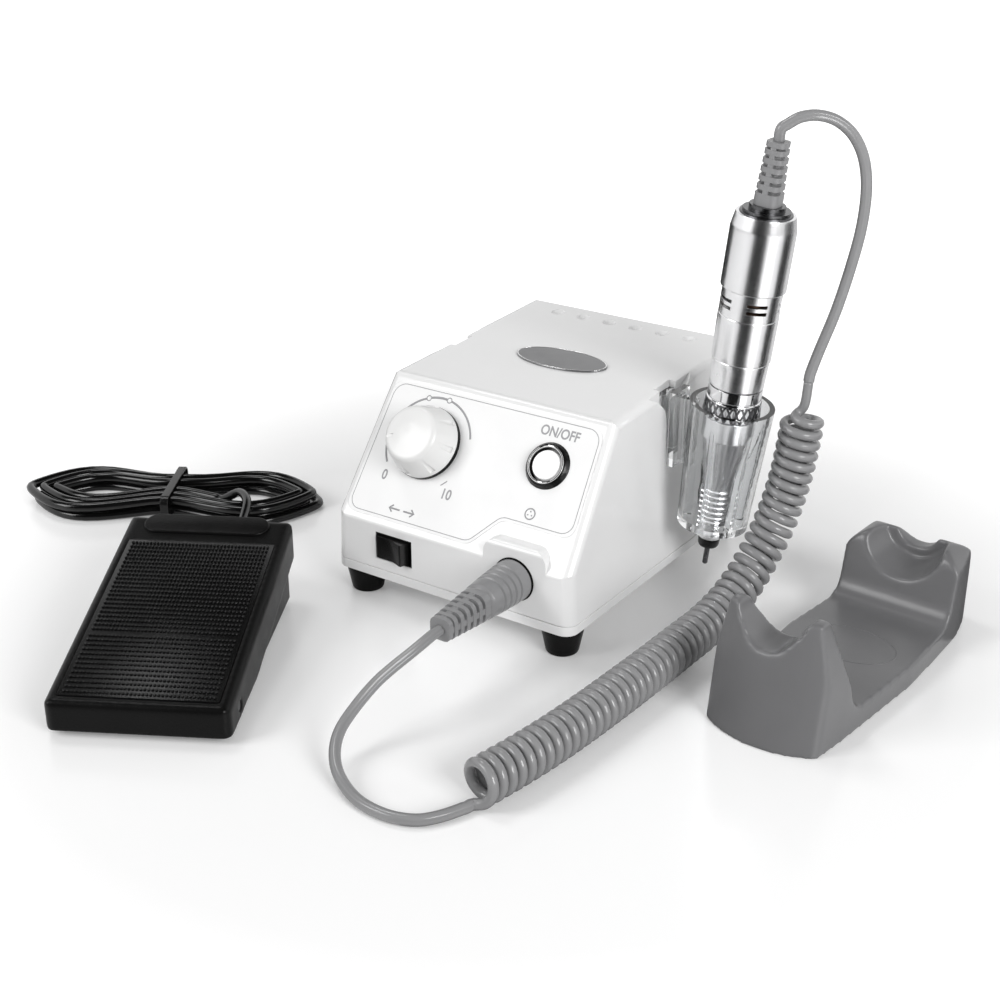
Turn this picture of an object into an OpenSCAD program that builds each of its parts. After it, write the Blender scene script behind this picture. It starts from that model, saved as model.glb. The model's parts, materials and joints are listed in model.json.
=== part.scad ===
// Nail drill machine: control box, handpiece in its holder, curly cord, foot pedal and handpiece rest.
// Millimetres, +Z up. The origin lies on the table at the middle of the set.

/* [Control box] */
// Width of the control box at its seam
box_w = 124; // [118:1:132]
// Depth of the control box
box_d = 156.5; // [150:0.5:164]
// Height of the rubber feet
foot_h = 12.3; // [9:0.1:14]
// Height of the base tray's rim
rim_h = 4.7; // [4:0.1:7]
// Height of the shadow gap under the housing
seam_gap = 0.5; // [0.3:0.1:0.8]
// Depth of the shadow gap
seam_in = 0.8; // [0.5:0.1:1.2]
// Height of the upright front band above the seam
band_h = 21.3; // [20:0.1:24]
// Length of the sloped control panel
panel_len = 68.3; // [66:0.1:72]
// Slope of the control panel above the horizontal
panel_slope = 54; // [50:0.5:58]
// Rise of the top from the panel to the rear
top_rise = 4; // [2:0.1:5]
// How far each side leans in at the top
side_inset = 4.4; // [3:0.1:5]
// Wall of the housing
wall = 2.5; // [2:0.1:3]
// Rounding of the housing's edges
edge_r = 4.5; // [3:0.1:6]
// Rounding of the base's corners
corner_r = 6; // [4:0.1:8]
// Top radius of a foot
foot_r1 = 9.5; // [8:0.1:9.5]
// Bottom radius of a foot
foot_r2 = 7; // [6:0.1:7.5]
// Distance of a foot's axis from the sides and ends
foot_in = 10; // [9.5:0.1:13]
// Radius of a foot screw
screw_r = 1.5; // [1.2:0.05:1.8]
// Thickness of the panel overlay
overlay_t = 0.4; // [0.2:0.05:0.6]
// Long half axis of the badge
badge_a = 23; // [18:0.1:26]
// Short half axis of the badge
badge_b = 11.4; // [10:0.1:16]
// Thickness of the badge
badge_t = 0.8; // [0.5:0.1:1.2]

/* [Bit holes] */
// Number of bit holes
bit_n = 6; // [4:1:7]
// Pitch of the bit holes
bit_pitch = 14.4; // [12:0.1:14.5]
// Radius of a bit hole
bit_hole_r = 1.25; // [1.2:0.01:1.6]
// Radius of a bit hole's countersink at the top
bit_sink_r = 3.2; // [2.6:0.1:4]
// Depth of the bit rack under the top
bit_rack_h = 16; // [12:0.5:22]
// Distance of the bit holes from the rear
bit_from_rear = 13.5; // [11:0.1:18]

/* [Knob] */
// Distance of the knob's axis from the left side
knob_side = 35.3; // [32:0.1:38]
// Knob axis up the panel
knob_v = 40; // [36:0.1:44]
// Radius of the knob at its foot
knob_r1 = 16.2; // [14:0.1:17]
// Radius of the knob at its face
knob_r2 = 13; // [11:0.1:14]
// Height of the knob
knob_h = 17; // [14:0.1:20]
// Thickness of the knob's dark base ring
knob_base_t = 1.4; // [1:0.1:2]
// Number of grip flutes
knob_flutes = 8; // [6:1:12]
// Angle of the pointer, clockwise from up the panel
pointer_angle = -109; // [-135:1:135]
// Radius of the potentiometer's shaft
pot_shaft_r = 3; // [2.5:0.05:3.2]
// Radius of the potentiometer's bush
pot_bush_r = 4.5; // [4:0.1:5]
// Radius of the potentiometer's body
pot_r = 8.5; // [7:0.1:10]

/* [Power button] */
// Distance of the button's axis from the right side
button_side = 28.3; // [26:0.1:32]
// Button axis up the panel
button_v = 44; // [40:0.1:47]
// Radius of the bezel at its foot
bezel_r1 = 10.2; // [9.5:0.1:11]
// Radius of the bezel at its rim
bezel_r2 = 8.2; // [7.8:0.1:8.8]
// Height of the bezel
bezel_h = 3.2; // [2.4:0.1:4]
// Radius of the barrel behind the panel
barrel_r = 8; // [7.5:0.1:8.4]
// Length of the barrel behind the panel's face
barrel_len = 14; // [12:0.1:18]
// Radius of the cap
cap_r = 6.4; // [5.5:0.1:6.8]
// Travel of the cap
button_travel = 2.2; // [1.5:0.1:2.6]

/* [Rocker switch] */
// Distance of the rocker's middle from the left side
rocker_side = 33; // [28:0.5:38]
// Height of the rocker's middle above the seam
rocker_up = 11.2; // [10:0.1:13]
// Width of the rocker's opening
rocker_w = 19.6; // [18:0.1:21]
// Height of the rocker's opening
rocker_h = 12.8; // [11:0.1:14]
// Depth of the rocker's body
rocker_depth = 18; // [15:0.1:22]
// Tilt of the rocker to each side
rocker_tilt = 9; // [6:0.5:10]
// Radius of the rocker's pivot
rocker_pin_r = 1.5; // [1.2:0.05:1.8]

/* [Motor socket and plug] */
// Distance of the boss's middle from the right side
boss_side = 28; // [26:0.5:31]
// Width of the boss
boss_w = 31; // [28:0.5:34]
// Height of the boss above the seam
boss_h = 30.5; // [28:0.1:33]
// How far the socket stands out of the boss
socket_out = 0.8; // [0.4:0.1:2]
// Depth of the boss
boss_d = 10; // [8:0.5:12]
// Height of the socket's axis above the seam
socket_up = 15.2; // [13:0.1:17]
// Outer radius of the socket
socket_r = 8; // [7.5:0.1:8.6]
// Length of the socket
socket_len = 17; // [15:0.1:20]
// Radius of the plug's nose
plug_nose_r = 6; // [5.5:0.1:6.4]
// Radius of the plug's collar
plug_r = 9.2; // [8.8:0.1:9.6]
// Length of the plug's body
plug_len = 25; // [22:0.5:28]
// Length of the plug's strain relief
plug_relief_len = 26; // [24:0.5:28]

/* [Rear connectors] */
// Radius of the pedal jack's bore
jack_r = 1.8; // [1.7:0.01:3.3]
// Depth of the pedal jack's bore
jack_len = 15; // [14:0.5:18]
// Width of the mains inlet's recess
inlet_w = 14; // [13:0.1:16]
// Height of the mains inlet's recess
inlet_h = 8.4; // [7.6:0.1:10]

/* [Holder] */
// Middle of the side slots behind the front
slot_y = 87; // [84:0.5:92]
// Height of the slot's floor above the seam
slot_up = 49; // [46:0.5:52]
// Half width of the slot's opening
slot_half = 5; // [4:0.1:6]
// Outer radius of the cup at its rim
cup_r1 = 18; // [17.5:0.1:19]
// Outer radius of the cup at its floor
cup_r2 = 15.4; // [15:0.1:16.5]
// Wall of the cup
cup_wall = 2.3; // [2:0.1:2.6]
// Height of the cup along its axis
cup_h = 57; // [55:0.5:60]
// Thickness of the cup's floor
cup_floor = 3; // [2.5:0.1:4]
// Number of ribs in the cup
cup_ribs = 6; // [4:1:8]
// Gap between holder and slot
slot_gap = 0.3; // [0.2:0.05:0.5]

/* [Handpiece] */
// Outward lean of the handpiece
lean = 6.4; // [4:0.1:7]
// Distance of the nose from the middle of the box
nose_x = 79.1; // [78.5:0.1:82]
// Height of the nose above the table
nose_z = 25.6; // [24:0.1:28]
// Radius of the rear sleeve
rear_r = 13.5; // [13.1:0.1:14.5]
// Radius of the motor case
case_r = 12.6; // [12.2:0.1:13]
// Radius of the lock collar
collar_r = 11.6; // [11:0.1:12]
// Radius of the grip's ringed part
grip_r = 7.3; // [7.1:0.1:7.8]
// Radius of the tube under the lock collar
stub_r = 8.5; // [8:0.1:8.8]
// Length of the rear sleeve
rear_len = 31.5; // [28:0.5:36]
// Length of the cord boot
boot_len = 25.5; // [24:0.5:27]
// Radius of a bit shank
shank_r = 1.175; // [1.15:0.005:1.19]
// Radius of the spindle
spindle_r = 2.5; // [2:0.05:2.8]
// Running clearance of turning pieces
run_gap = 0.06; // [0.03:0.01:0.1]

/* [Cords] */
// Diameter of the handpiece cord's plain stretches
lead_d = 4.6; // [4:0.1:5]
// Diameter of the wire in the curls
curl_wire = 3.9; // [3.4:0.1:4]
// Outer diameter of the curls
curl_od = 18.6; // [17.4:0.1:19]
// Number of curls
curl_n = 53; // [46:1:53]
// Diameter of the pedal cord
hank_d = 4.4; // [4:0.1:4.6]
// Number of loops in the hank
hank_loops = 5; // [3:1:5]

/* [Foot pedal] */
// Width of the treadle
ped_w = 73; // [70:0.5:76]
// Length of the treadle in plan
ped_len = 123; // [120:0.5:126]
// Height of the treadle's top at the heel
ped_heel = 16; // [15:0.1:17.5]
// Rise of the treadle's top per length
ped_rise = 0.18; // [0.16:0.005:0.2]
// Wall of the treadle
ped_wall = 2.2; // [1.8:0.1:2.6]
// Height of the pedal's feet
ped_foot_h = 2.2; // [1.6:0.1:3]
// Distance of the pivot from the heel edge
ped_pin_b = 15; // [13:0.5:17]
// Height of the pivot
ped_pin_z = 8; // [7.5:0.1:9]
// Radius of the pivot pin
ped_pin_r = 2; // [1.6:0.05:2.4]
// Travel of the treadle
ped_travel = 4.5; // [3:0.1:5]
// Gap between treadle and base
ped_gap = 0.4; // [0.3:0.05:0.6]

/* [Handpiece rest] */
// Length of the rest
rest_len = 148; // [142:0.5:156]
// Width of the rest at its foot
rest_w = 57; // [54:0.5:60]
// Height of the floor
rest_floor = 10; // [8:0.1:12]
// Height of the front horns
rest_horn = 53; // [49:0.5:56]
// Height of the rear block
rest_block = 40; // [37:0.5:43]
// Depth of the front notch
rest_notch = 14.5; // [12:0.5:17]
// Radius of the rear saddle
rest_saddle = 14.3; // [13.6:0.1:15.5]
// Lean of the front wall from foot to horn
rest_lean = 8; // [5:0.5:10]
// Widening of the saddle towards its front edge
rest_flare = 7; // [4:0.5:8]

/* [Hidden] */
$fn = 48;

// Place of the box's front middle, the pedal's heel middle and the rest's front middle
box_at = [-25, -1, 0];
ped_at = [-69.5, -141, 0];
ped_turn = 29;
rest_at = [125.6, -9.4, 0];
rest_turn = -4.5;

// Heights and corners of the box
base_z = foot_h;
seam_z = foot_h + rim_h;
band_z = seam_z + band_h;
panel_y = panel_len * cos(panel_slope);
panel_z = band_z + panel_len * sin(panel_slope);
top_z = panel_z + top_rise;
top_k = top_rise / (box_d - panel_y);
side_lean = atan(side_inset / (top_z - seam_z));
slot_x = box_w / 2 - side_inset;
knob_u = knob_side - box_w / 2;
button_u = box_w / 2 - button_side;
rocker_x = rocker_side - box_w / 2;
boss_x = box_w / 2 - boss_side;
slot_z = seam_z + slot_up;
socket_z = seam_z + socket_up;
bit_y = box_d - bit_from_rear;
bit_z = panel_z + (bit_y - panel_y) * top_k - wall;
foot_xy = [for (sx = [-1, 1], y = [foot_in, box_d - foot_in]) [sx * (box_w / 2 - foot_in), y]];

// Points of a polygon whose corners are rounded by the given radii
function unit(v) = v / norm(v);
function corner(a, b, c, r, n) =
  let (u = unit(a - b), w = unit(c - b), h = acos(u * w) / 2, m = b + unit(u + w) * r / sin(h),
       s = b + u * r / tan(h) - m, e = b + w * r / tan(h) - m,
       a0 = atan2(s.y, s.x), da = (atan2(e.y, e.x) - a0 + 540) % 360 - 180)
  [for (k = [0 : n]) m + r * [cos(a0 + da * k / n), sin(a0 + da * k / n)]];
function rounded(p, r, n = 5) =
  let (l = len(p))
  [for (i = [0 : l - 1])
    each (r[i] == 0 ? [p[i]] : corner(p[(i + l - 1) % l], p[i], p[(i + 1) % l], r[i], n))];

// Extrusion along X from x0, of an outline given in Y and Z
module along_x(x0, len) {
  translate([x0, 0, 0]) rotate([90, 0, 90]) linear_extrude(len) children();
}
// Extrusion along Y from y0, of an outline given in X and Z
module along_y(y0, len) {
  translate([0, y0 + len, 0]) rotate([90, 0, 0]) linear_extrude(len) children();
}
module at_box() { translate(box_at) children(); }
module on_panel(u, v) {
  translate([0, 0, band_z]) rotate([panel_slope, 0, 0]) translate([u, v, 0]) children();
}
module at_pedal() { translate(ped_at) rotate([0, 0, ped_turn]) children(); }
module at_rest() { translate(rest_at) rotate([0, 0, rest_turn]) children(); }
module at_nose() {
  translate([nose_x, slot_y, nose_z]) rotate([0, lean, 0]) children();
}
module ring(z0, z1, r1, r0) {
  rotate_extrude() translate([r0, z0]) square([r1 - r0, z1 - z0]);
}

// Sweep of a round tube along points, with n sides, closed at both ends
function tangent(p, i) = unit(p[min(i + 1, len(p) - 1)] - p[max(i - 1, 0)]);
function across(t, g) = unit(g - (g * t) * t);
function frames(p) =
  [for (i = 0, g = across(tangent(p, 0), [0.31, 0.17, 0.93]); i < len(p);
        i = i + 1, g = across(tangent(p, min(i, len(p) - 1)), g)) g];
module tube(p, d, n) {
  f = frames(p);
  m = len(p);
  points = [for (i = [0 : m - 1], k = [0 : n - 1])
    let (t = tangent(p, i), a = f[i], b = cross(t, a))
    p[i] + d / 2 * (cos(360 * k / n) * a + sin(360 * k / n) * b)];
  sides = [for (i = [0 : m - 2], k = [0 : n - 1])
    let (a = i * n + k, b = i * n + (k + 1) % n)
    each [[a, b, a + n], [b, b + n, a + n]]];
  ends = [for (k = [1 : n - 2]) each [
    [0, k + 1, k], [(m - 1) * n, (m - 1) * n + k, (m - 1) * n + k + 1]]];
  polyhedron([each points], [for (s = concat(sides, ends)) [s[0], s[2], s[1]]], convexity = 10);
}
// Smooth curve through points, s steps to a span
function curve(p, s) =
  let (l = len(p))
  concat([for (i = [0 : l - 2], j = [0 : s - 1])
    let (a = p[max(i - 1, 0)], b = p[i], c = p[i + 1], d = p[min(i + 2, l - 1)], t = j / s)
    b + (c - a) / 2 * t + (a - 2.5 * b + 2 * c - d / 2) * t * t
      + (1.5 * b - a / 2 - 1.5 * c + d / 2) * t * t * t], [p[l - 1]]);
function sums(v) = [for (i = 0, s = 0; i <= len(v); s = s + (i < len(v) ? v[i] : 0), i = i + 1) s];
function smooth(t) = let (c = min(max(t, 0), 1)) c * c * (3 - 2 * c);
// Least gap of a tube to itself, between points over skip and up to reach steps apart
function self_gap(p, d, skip, reach) =
  min([for (i = [0 : len(p) - 1 - skip], j = [i + skip : min(i + reach, len(p) - 1)])
    norm(p[i] - p[j])]) - d;

// Outline of the box's side, inset by t
function side_outline(t) =
  let (pn = [-sin(panel_slope), cos(panel_slope)], pd = [cos(panel_slope), sin(panel_slope)],
       b = [0, band_z] - t * pn, k = (t - b.x) / pd.x,
       tz = panel_z - t * sqrt(1 + top_k * top_k), q = [panel_y, tz],
       m = (q.y - b.y - (q.x - b.x) * top_k) / (pd.y - pd.x * top_k))
  [[t, seam_z], b + k * pd, b + m * pd, [box_d - t, tz + (box_d - t - panel_y) * top_k],
   [box_d - t, seam_z]];
module box_solid() {
  intersection() {
    along_x(-box_w, 2 * box_w) polygon(rounded(side_outline(0), [0, 3, 5, edge_r, 0]));
    translate([0, panel_y, panel_z]) rotate([atan(top_k), 0, 0]) along_y(-box_d, 3 * box_d)
      polygon(rounded([[-box_w / 2 - 4, -top_z], [-slot_x - 0.2, 0],
        [slot_x + 0.2, 0], [box_w / 2 + 4, -top_z]], [0, edge_r, edge_r, 0]));
    intersection_for (s = [-1, 1])
      translate([s * box_w / 2, 0, seam_z]) rotate([0, -s * side_lean, 0])
        translate([0, 0, -10]) linear_extrude(top_z) scale([s, 1])
          polygon(rounded([[-2 * box_w, 0], [0, 0], [0, box_d], [-2 * box_w, box_d]],
            [0, corner_r, corner_r, 0]));
    intersection_for (s = [-1, 1])
      translate([s * (box_w / 2 - tan(side_lean) * band_h), 0, band_z]) rotate([panel_slope, 0, 0])
        rotate([0, 0, s * atan(tan(side_lean) * sin(panel_slope))])
          along_y(-box_d, 3 * box_d) scale([s, 1])
            polygon(rounded([[-2 * box_w, -2 * box_d], [-2 * box_w, 0], [0, 0],
              [2.6 * box_d * tan(side_lean) * cos(panel_slope), -2 * box_d]], [0, 0, edge_r, 0]));
  }
}
module box_hollow() {
  intersection() {
    along_x(-box_w, 2 * box_w)
      polygon(concat([[wall, seam_z - 1]], side_outline(wall), [[box_d - wall, seam_z - 1]]));
    along_y(-1, box_d + 2)
      polygon([[-box_w / 2 + wall, seam_z - 1], [-slot_x + wall, top_z], [slot_x - wall, top_z],
        [box_w / 2 - wall, seam_z - 1]]);
  }
}
module slot_cut() {
  w = slot_half + 2;
  for (s = [-1, 1]) scale([s, 1, 1]) {
    translate([slot_x - 5.2, slot_y - w, slot_z]) cube([3, 2 * w, top_z]);
    translate([slot_x - 3, slot_y - slot_half, slot_z]) cube([20, 2 * slot_half, top_z]);
    along_x(slot_x - 2.2, 20) polygon([
      [slot_y - slot_half - 16, top_z + 4], [slot_y - slot_half - 16, top_z - 1.5],
      [slot_y - slot_half - 7, top_z - 6], [slot_y - slot_half - 1.5, top_z - 11],
      [slot_y - slot_half, top_z - 15], [slot_y + slot_half, top_z - 15],
      [slot_y + slot_half + 1.5, top_z - 11], [slot_y + slot_half + 7, top_z - 6],
      [slot_y + slot_half + 16, top_z - 1.5], [slot_y + slot_half + 16, top_z + 4]]);
  }
}
module boss() {
  intersection() {
    along_y(0, boss_d) translate([boss_x, seam_z])
      polygon(rounded([[-boss_w / 2, 0], [-boss_w / 2, boss_h], [boss_w / 2, boss_h],
        [boss_w / 2, 0]], [0, 6, 6, 0]));
    along_x(-box_w, 2 * box_w) polygon(rounded([[0, seam_z], [0, seam_z + boss_h],
      [boss_d, seam_z + boss_h], [boss_d, seam_z]], [0, 2.5, 0, 0]));
  }
}
module bit_places() {
  for (i = [0 : bit_n - 1]) translate([(i - (bit_n - 1) / 2) * bit_pitch, bit_y, 0]) children();
}

module housing() {
  color("white") at_box() difference() {
    union() {
      difference() {
        box_solid();
        box_hollow();
      }
      intersection() {
        box_solid();
        union() {
          for (f = foot_xy) translate([f.x, f.y, seam_z]) cylinder(r = 7.6, h = 20);
          for (s = [-1, 1])
            translate([s > 0 ? slot_x - 7.7 : -box_w, slot_y - slot_half - 20, slot_z - 4])
              cube([box_w - slot_x + 7.7, 2 * slot_half + 40, top_z]);
        }
      }
      boss();
    }
    slot_cut();
    for (f = foot_xy) translate([f.x, f.y, 0]) cylinder(r = screw_r + 0.1, h = seam_z + 16);
    on_panel(knob_u, knob_v) translate([0, 0, -10]) cylinder(r = pot_bush_r + 0.2, h = 20);
    on_panel(button_u, button_v) translate([0, 0, -10]) cylinder(r = barrel_r + 0.2, h = 20);
    translate([rocker_x - rocker_w / 2, -5, seam_z + rocker_up - rocker_h / 2])
      cube([rocker_w, 5 + wall + 1, rocker_h]);
    translate([boss_x, -5, socket_z]) rotate([-90, 0, 0]) cylinder(r = socket_r + 0.1, h = 30);
    bit_places() translate([0, 0, bit_z + wall - bit_sink_r + bit_hole_r - 0.2])
      cylinder(r1 = bit_hole_r + 0.15, r2 = bit_sink_r + 0.35, h = bit_sink_r - bit_hole_r + 0.4);
    bit_places() translate([0, 0, bit_z - 8]) cylinder(r = bit_hole_r + 0.15, h = 20);
    translate([fuse_at.x, box_d + 5, fuse_at.y]) rotate([90, 0, 0]) cylinder(r = fuse_at.z, h = 12);
    translate([jack_at.x - jack_at.z, box_d - 7, jack_at.y - jack_at.z]) cube([2 * jack_at.z, 12,
      2 * jack_at.z]);
    translate([inlet_x - inlet_w / 2 - 2, box_d - 6, inlet_z - inlet_h / 2 - 2])
      cube([inlet_w + 4, 12, inlet_h + 4]);
  }
}
// Places of the rear connectors: across, height and half the hole's width
rear_side = 28;
inlet_x = rear_side - box_w / 2;
inlet_z = seam_z + 16;
jack_at = [box_w / 2 - rear_side - 4, seam_z + 16, 5.2];
fuse_at = [-4, seam_z + 16, 6.2];

// Outline of the tray, inset by t
function tray_outline(t) =
  let (w = box_w / 2 - t, r = corner_r - t)
  rounded([[-w, t], [w, t], [w, box_d - t], [-w, box_d - t]], [r, r, r, r]);
module base_tray() {
  color("white") at_box() difference() {
    for (k = [0, 1]) translate([0, 0, base_z]) linear_extrude(rim_h - (1 - k) * seam_gap)
      polygon(tray_outline(k * seam_in));
    translate([-box_w / 2 + wall, wall, base_z + wall])
      cube([box_w - 2 * wall, box_d - 2 * wall, rim_h]);
    for (f = foot_xy) translate([f.x, f.y, 0]) cylinder(r = screw_r + 0.1, h = seam_z);
    for (i = [0 : 5]) translate([-25 + 10 * i, box_d / 2 - 30, 0])
      cube([4, 36, base_z + wall + 1]);
  }
}

module rubber_feet() {
  color("dimgray") at_box() for (f = foot_xy) translate([f.x, f.y, 0]) difference() {
    cylinder(r1 = foot_r2, r2 = foot_r1, h = foot_h);
    translate([0, 0, -1]) cylinder(r = 2 * screw_r + 1, h = foot_h / 2 + 1);
    cylinder(r = screw_r + 0.1, h = foot_h + 1);
  }
}

module foot_screws() {
  color("silver") at_box() for (f = foot_xy) translate([f.x, f.y, foot_h / 2]) difference() {
    union() {
      translate([0, 0, -2]) cylinder(r = 2 * screw_r, h = 2);
      cylinder(r = screw_r, h = seam_z - foot_h / 2 + 14);
    }
    translate([-0.4, -2 * screw_r, -3]) cube([0.8, 4 * screw_r, 2]);
  }
}

module panel_overlay() {
  u = box_w / 2 - 5.5;
  v = panel_len - 3.5;
  c = boss_x - boss_w / 2;
  color("whitesmoke") at_box() on_panel(0, 0) difference() {
    linear_extrude(overlay_t) polygon(rounded([[-u, 3], [c - 9, 3], [c + 3, 17], [u - 0.5, 17],
      [u - 2.5, v], [-u + 2.5, v]], [5, 6, 6, 5, 6, 6]));
    translate([knob_u, knob_v, -1]) cylinder(r = pot_bush_r + 3.5, h = 5);
    translate([button_u, button_v, -1]) cylinder(r = bezel_r1 + 0.1, h = 5);
  }
}

module badge() {
  k = atan(top_k);
  color("gray") at_box() translate([0, panel_y, panel_z]) rotate([k, 0, 0])
    translate([0, 49, 0]) linear_extrude(badge_t)
      polygon([for (i = [0 : 47]) [badge_a * cos(7.5 * i), badge_b * sin(7.5 * i)]]);
}

bit_lead = 0.5;
module bit_rack() {
  color("gainsboro") at_box() bit_places() difference() {
    translate([0, 0, bit_z - 0.02]) rotate([atan(top_k), 0, 0]) translate([0, 0, -bit_rack_h])
      cylinder(r = bit_sink_r + 0.8, h = bit_rack_h);
    translate([0, 0, bit_z - bit_rack_h + 2]) cylinder(r = bit_hole_r, h = bit_rack_h);
    translate([0, 0, bit_z - bit_lead]) cylinder(r1 = bit_hole_r, r2 = bit_hole_r + bit_lead, h = bit_lead);
    translate([0, 0, bit_z - 0.01]) cylinder(r = bit_hole_r + bit_lead, h = 4);
  }
}

// Knob: pieces that turn stand on the panel's normal
knob_lift = overlay_t + 1;
module at_knob() { at_box() on_panel(knob_u, knob_v) rotate([0, 0, -pointer_angle]) children(); }
module knob_cap() {
  z0 = knob_lift + knob_base_t;
  color("white") at_knob() difference() {
    rotate_extrude() polygon(concat(
      [[0, z0], [knob_r1, z0], [knob_r1 - 0.2, z0 + 2]],
      [for (k = [0 : 6]) [knob_r2 - 2.6 + 2.6 * cos(15 * k), knob_h - 3.4 + 2.6 * sin(15 * k)]],
      [[knob_r2 - 8, knob_h - 0.2], [0, knob_h]]));
    for (k = [0 : knob_flutes - 1]) rotate([0, 0, (k + 0.5) * 360 / knob_flutes])
      translate([0, knob_r1 + 0.5, z0 + 2])
        rotate([atan((knob_r1 - knob_r2) / (knob_h - z0)), 0, 0]) cylinder(r = 1.6, h = 8);
    translate([-0.7, knob_r2 - 5, knob_h - 1.1]) cube([1.4, 8, 4]);
    translate([0, 0, z0 - 1]) cylinder(r = pot_shaft_r + 0.02, h = 10);
    translate([0, 0, z0 - 1]) cylinder(r = pot_bush_r + 3.4, h = 3);
  }
}
module knob_base() {
  color("black") at_knob()
    ring(knob_lift, knob_lift + knob_base_t, knob_r1 - 0.1, pot_bush_r + 3.4);
}
module pot_shaft() {
  color("silver") at_knob() translate([0, 0, -wall - 9]) cylinder(r = pot_shaft_r,
    h = wall + 9 + knob_lift + knob_base_t + 8.9);
}
module pot_body() {
  color("slategray") at_box() on_panel(knob_u, knob_v) difference() {
    union() {
      translate([0, 0, -wall - 11]) cylinder(r = pot_r, h = 11);
      translate([0, 0, -wall - 1]) cylinder(r = pot_bush_r, h = wall + 1 + overlay_t + 2.6);
      translate([-pot_r, -pot_r - 5, -wall - 9]) cube([2 * pot_r, 8, 1.6]);
    }
    translate([0, 0, -wall - 9.2]) cylinder(r = pot_shaft_r + run_gap, h = 40);
  }
}
module hex_nut(af, t, r) {
  difference() {
    cylinder(r = af / sqrt(3), h = t, $fn = 6);
    translate([0, 0, -1]) cylinder(r = r, h = t + 2);
  }
}
module panel_nuts() {
  color("silver") at_box() {
    on_panel(knob_u, knob_v) hex_nut(2 * pot_bush_r + 4, 1.8, pot_bush_r + 0.02);
    on_panel(button_u, button_v) translate([0, 0, -wall - 2.5])
      hex_nut(2 * barrel_r + 4, 2.5, barrel_r + 0.02);
  }
}

module button_bezel() {
  color("silver") at_box() on_panel(button_u, button_v) difference() {
    union() {
      rotate_extrude() polygon([[0, 0], [bezel_r1, 0], [bezel_r1, 0.8], [bezel_r2 + 0.5, bezel_h - 0.5],
        [bezel_r2, bezel_h], [0, bezel_h]]);
      translate([0, 0, -barrel_len]) cylinder(r = barrel_r, h = barrel_len + 0.1);
    }
    translate([0, 0, -barrel_len - 1]) cylinder(r = cap_r + run_gap, h = 40);
  }
}
module button_cap() {
  color("white") at_box() on_panel(button_u, button_v) union() {
    rotate_extrude() polygon(concat([[0, -6], [cap_r, -6]],
      [for (k = [0 : 4]) [cap_r - 0.8 + 0.8 * cos(22.5 * k), bezel_h - 1.1 + 0.8 * sin(22.5 * k)]],
      [[0, bezel_h]]));
    translate([0, 0, -barrel_len + button_travel + 0.5])
      cylinder(r = 2.5, h = barrel_len - 6 - button_travel);
  }
}
module button_switch() {
  color("black") at_box() on_panel(button_u, button_v) difference() {
    union() {
      translate([0, 0, -barrel_len - 9]) cylinder(r = barrel_r, h = 9);
      for (s = [-1, 1]) translate([s * 3 - 0.4, -2, -barrel_len - 15]) cube([0.8, 4, 7]);
    }
    translate([0, 0, -barrel_len - 3]) cylinder(r = 2.8, h = 10);
  }
}

// Rocker: its pivot stands upright behind the front
rocker_z = seam_z + rocker_up;
rocker_axis_y = 4.5;
module at_rocker() { at_box() translate([rocker_x, rocker_axis_y, rocker_z]) children(); }
module rocker_body() {
  w = rocker_w - 0.2;
  h = rocker_h - 0.2;
  color("black") at_rocker() difference() {
    translate([-w / 2, -rocker_axis_y + 0.2, -h / 2]) cube([w, rocker_depth, h]);
    translate([-w / 2 + 0.8, -rocker_axis_y - 5, -h / 2 + 0.8]) cube([w - 1.6, rocker_axis_y + 10,
      h - 1.6]);
    translate([0, 0, -h]) cylinder(r = rocker_pin_r + run_gap, h = 2 * h);
  }
}
module rocker_paddle() {
  w = rocker_w - 2.6;
  h = rocker_h - 2.6;
  b = -rocker_axis_y;
  color("black") at_rocker() rotate([0, 0, -rocker_tilt]) union() {
    translate([0, 0, -h / 2]) linear_extrude(h) polygon([[-w / 2 + 1, b - 2.4], [-w / 2 + 2, b - 2.6],
      [0, b - 1], [w / 2 - 2, b - 2.6], [w / 2 - 1, b - 2.4], [w / 2 - 0.5, b + 3.4],
      [3, 2.2], [-3, 2.2], [-w / 2 + 0.5, b + 3.4]]);
    translate([0, 0, -h / 2 - 1.3]) cylinder(r = rocker_pin_r, h = h + 2.6);
  }
}

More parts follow.
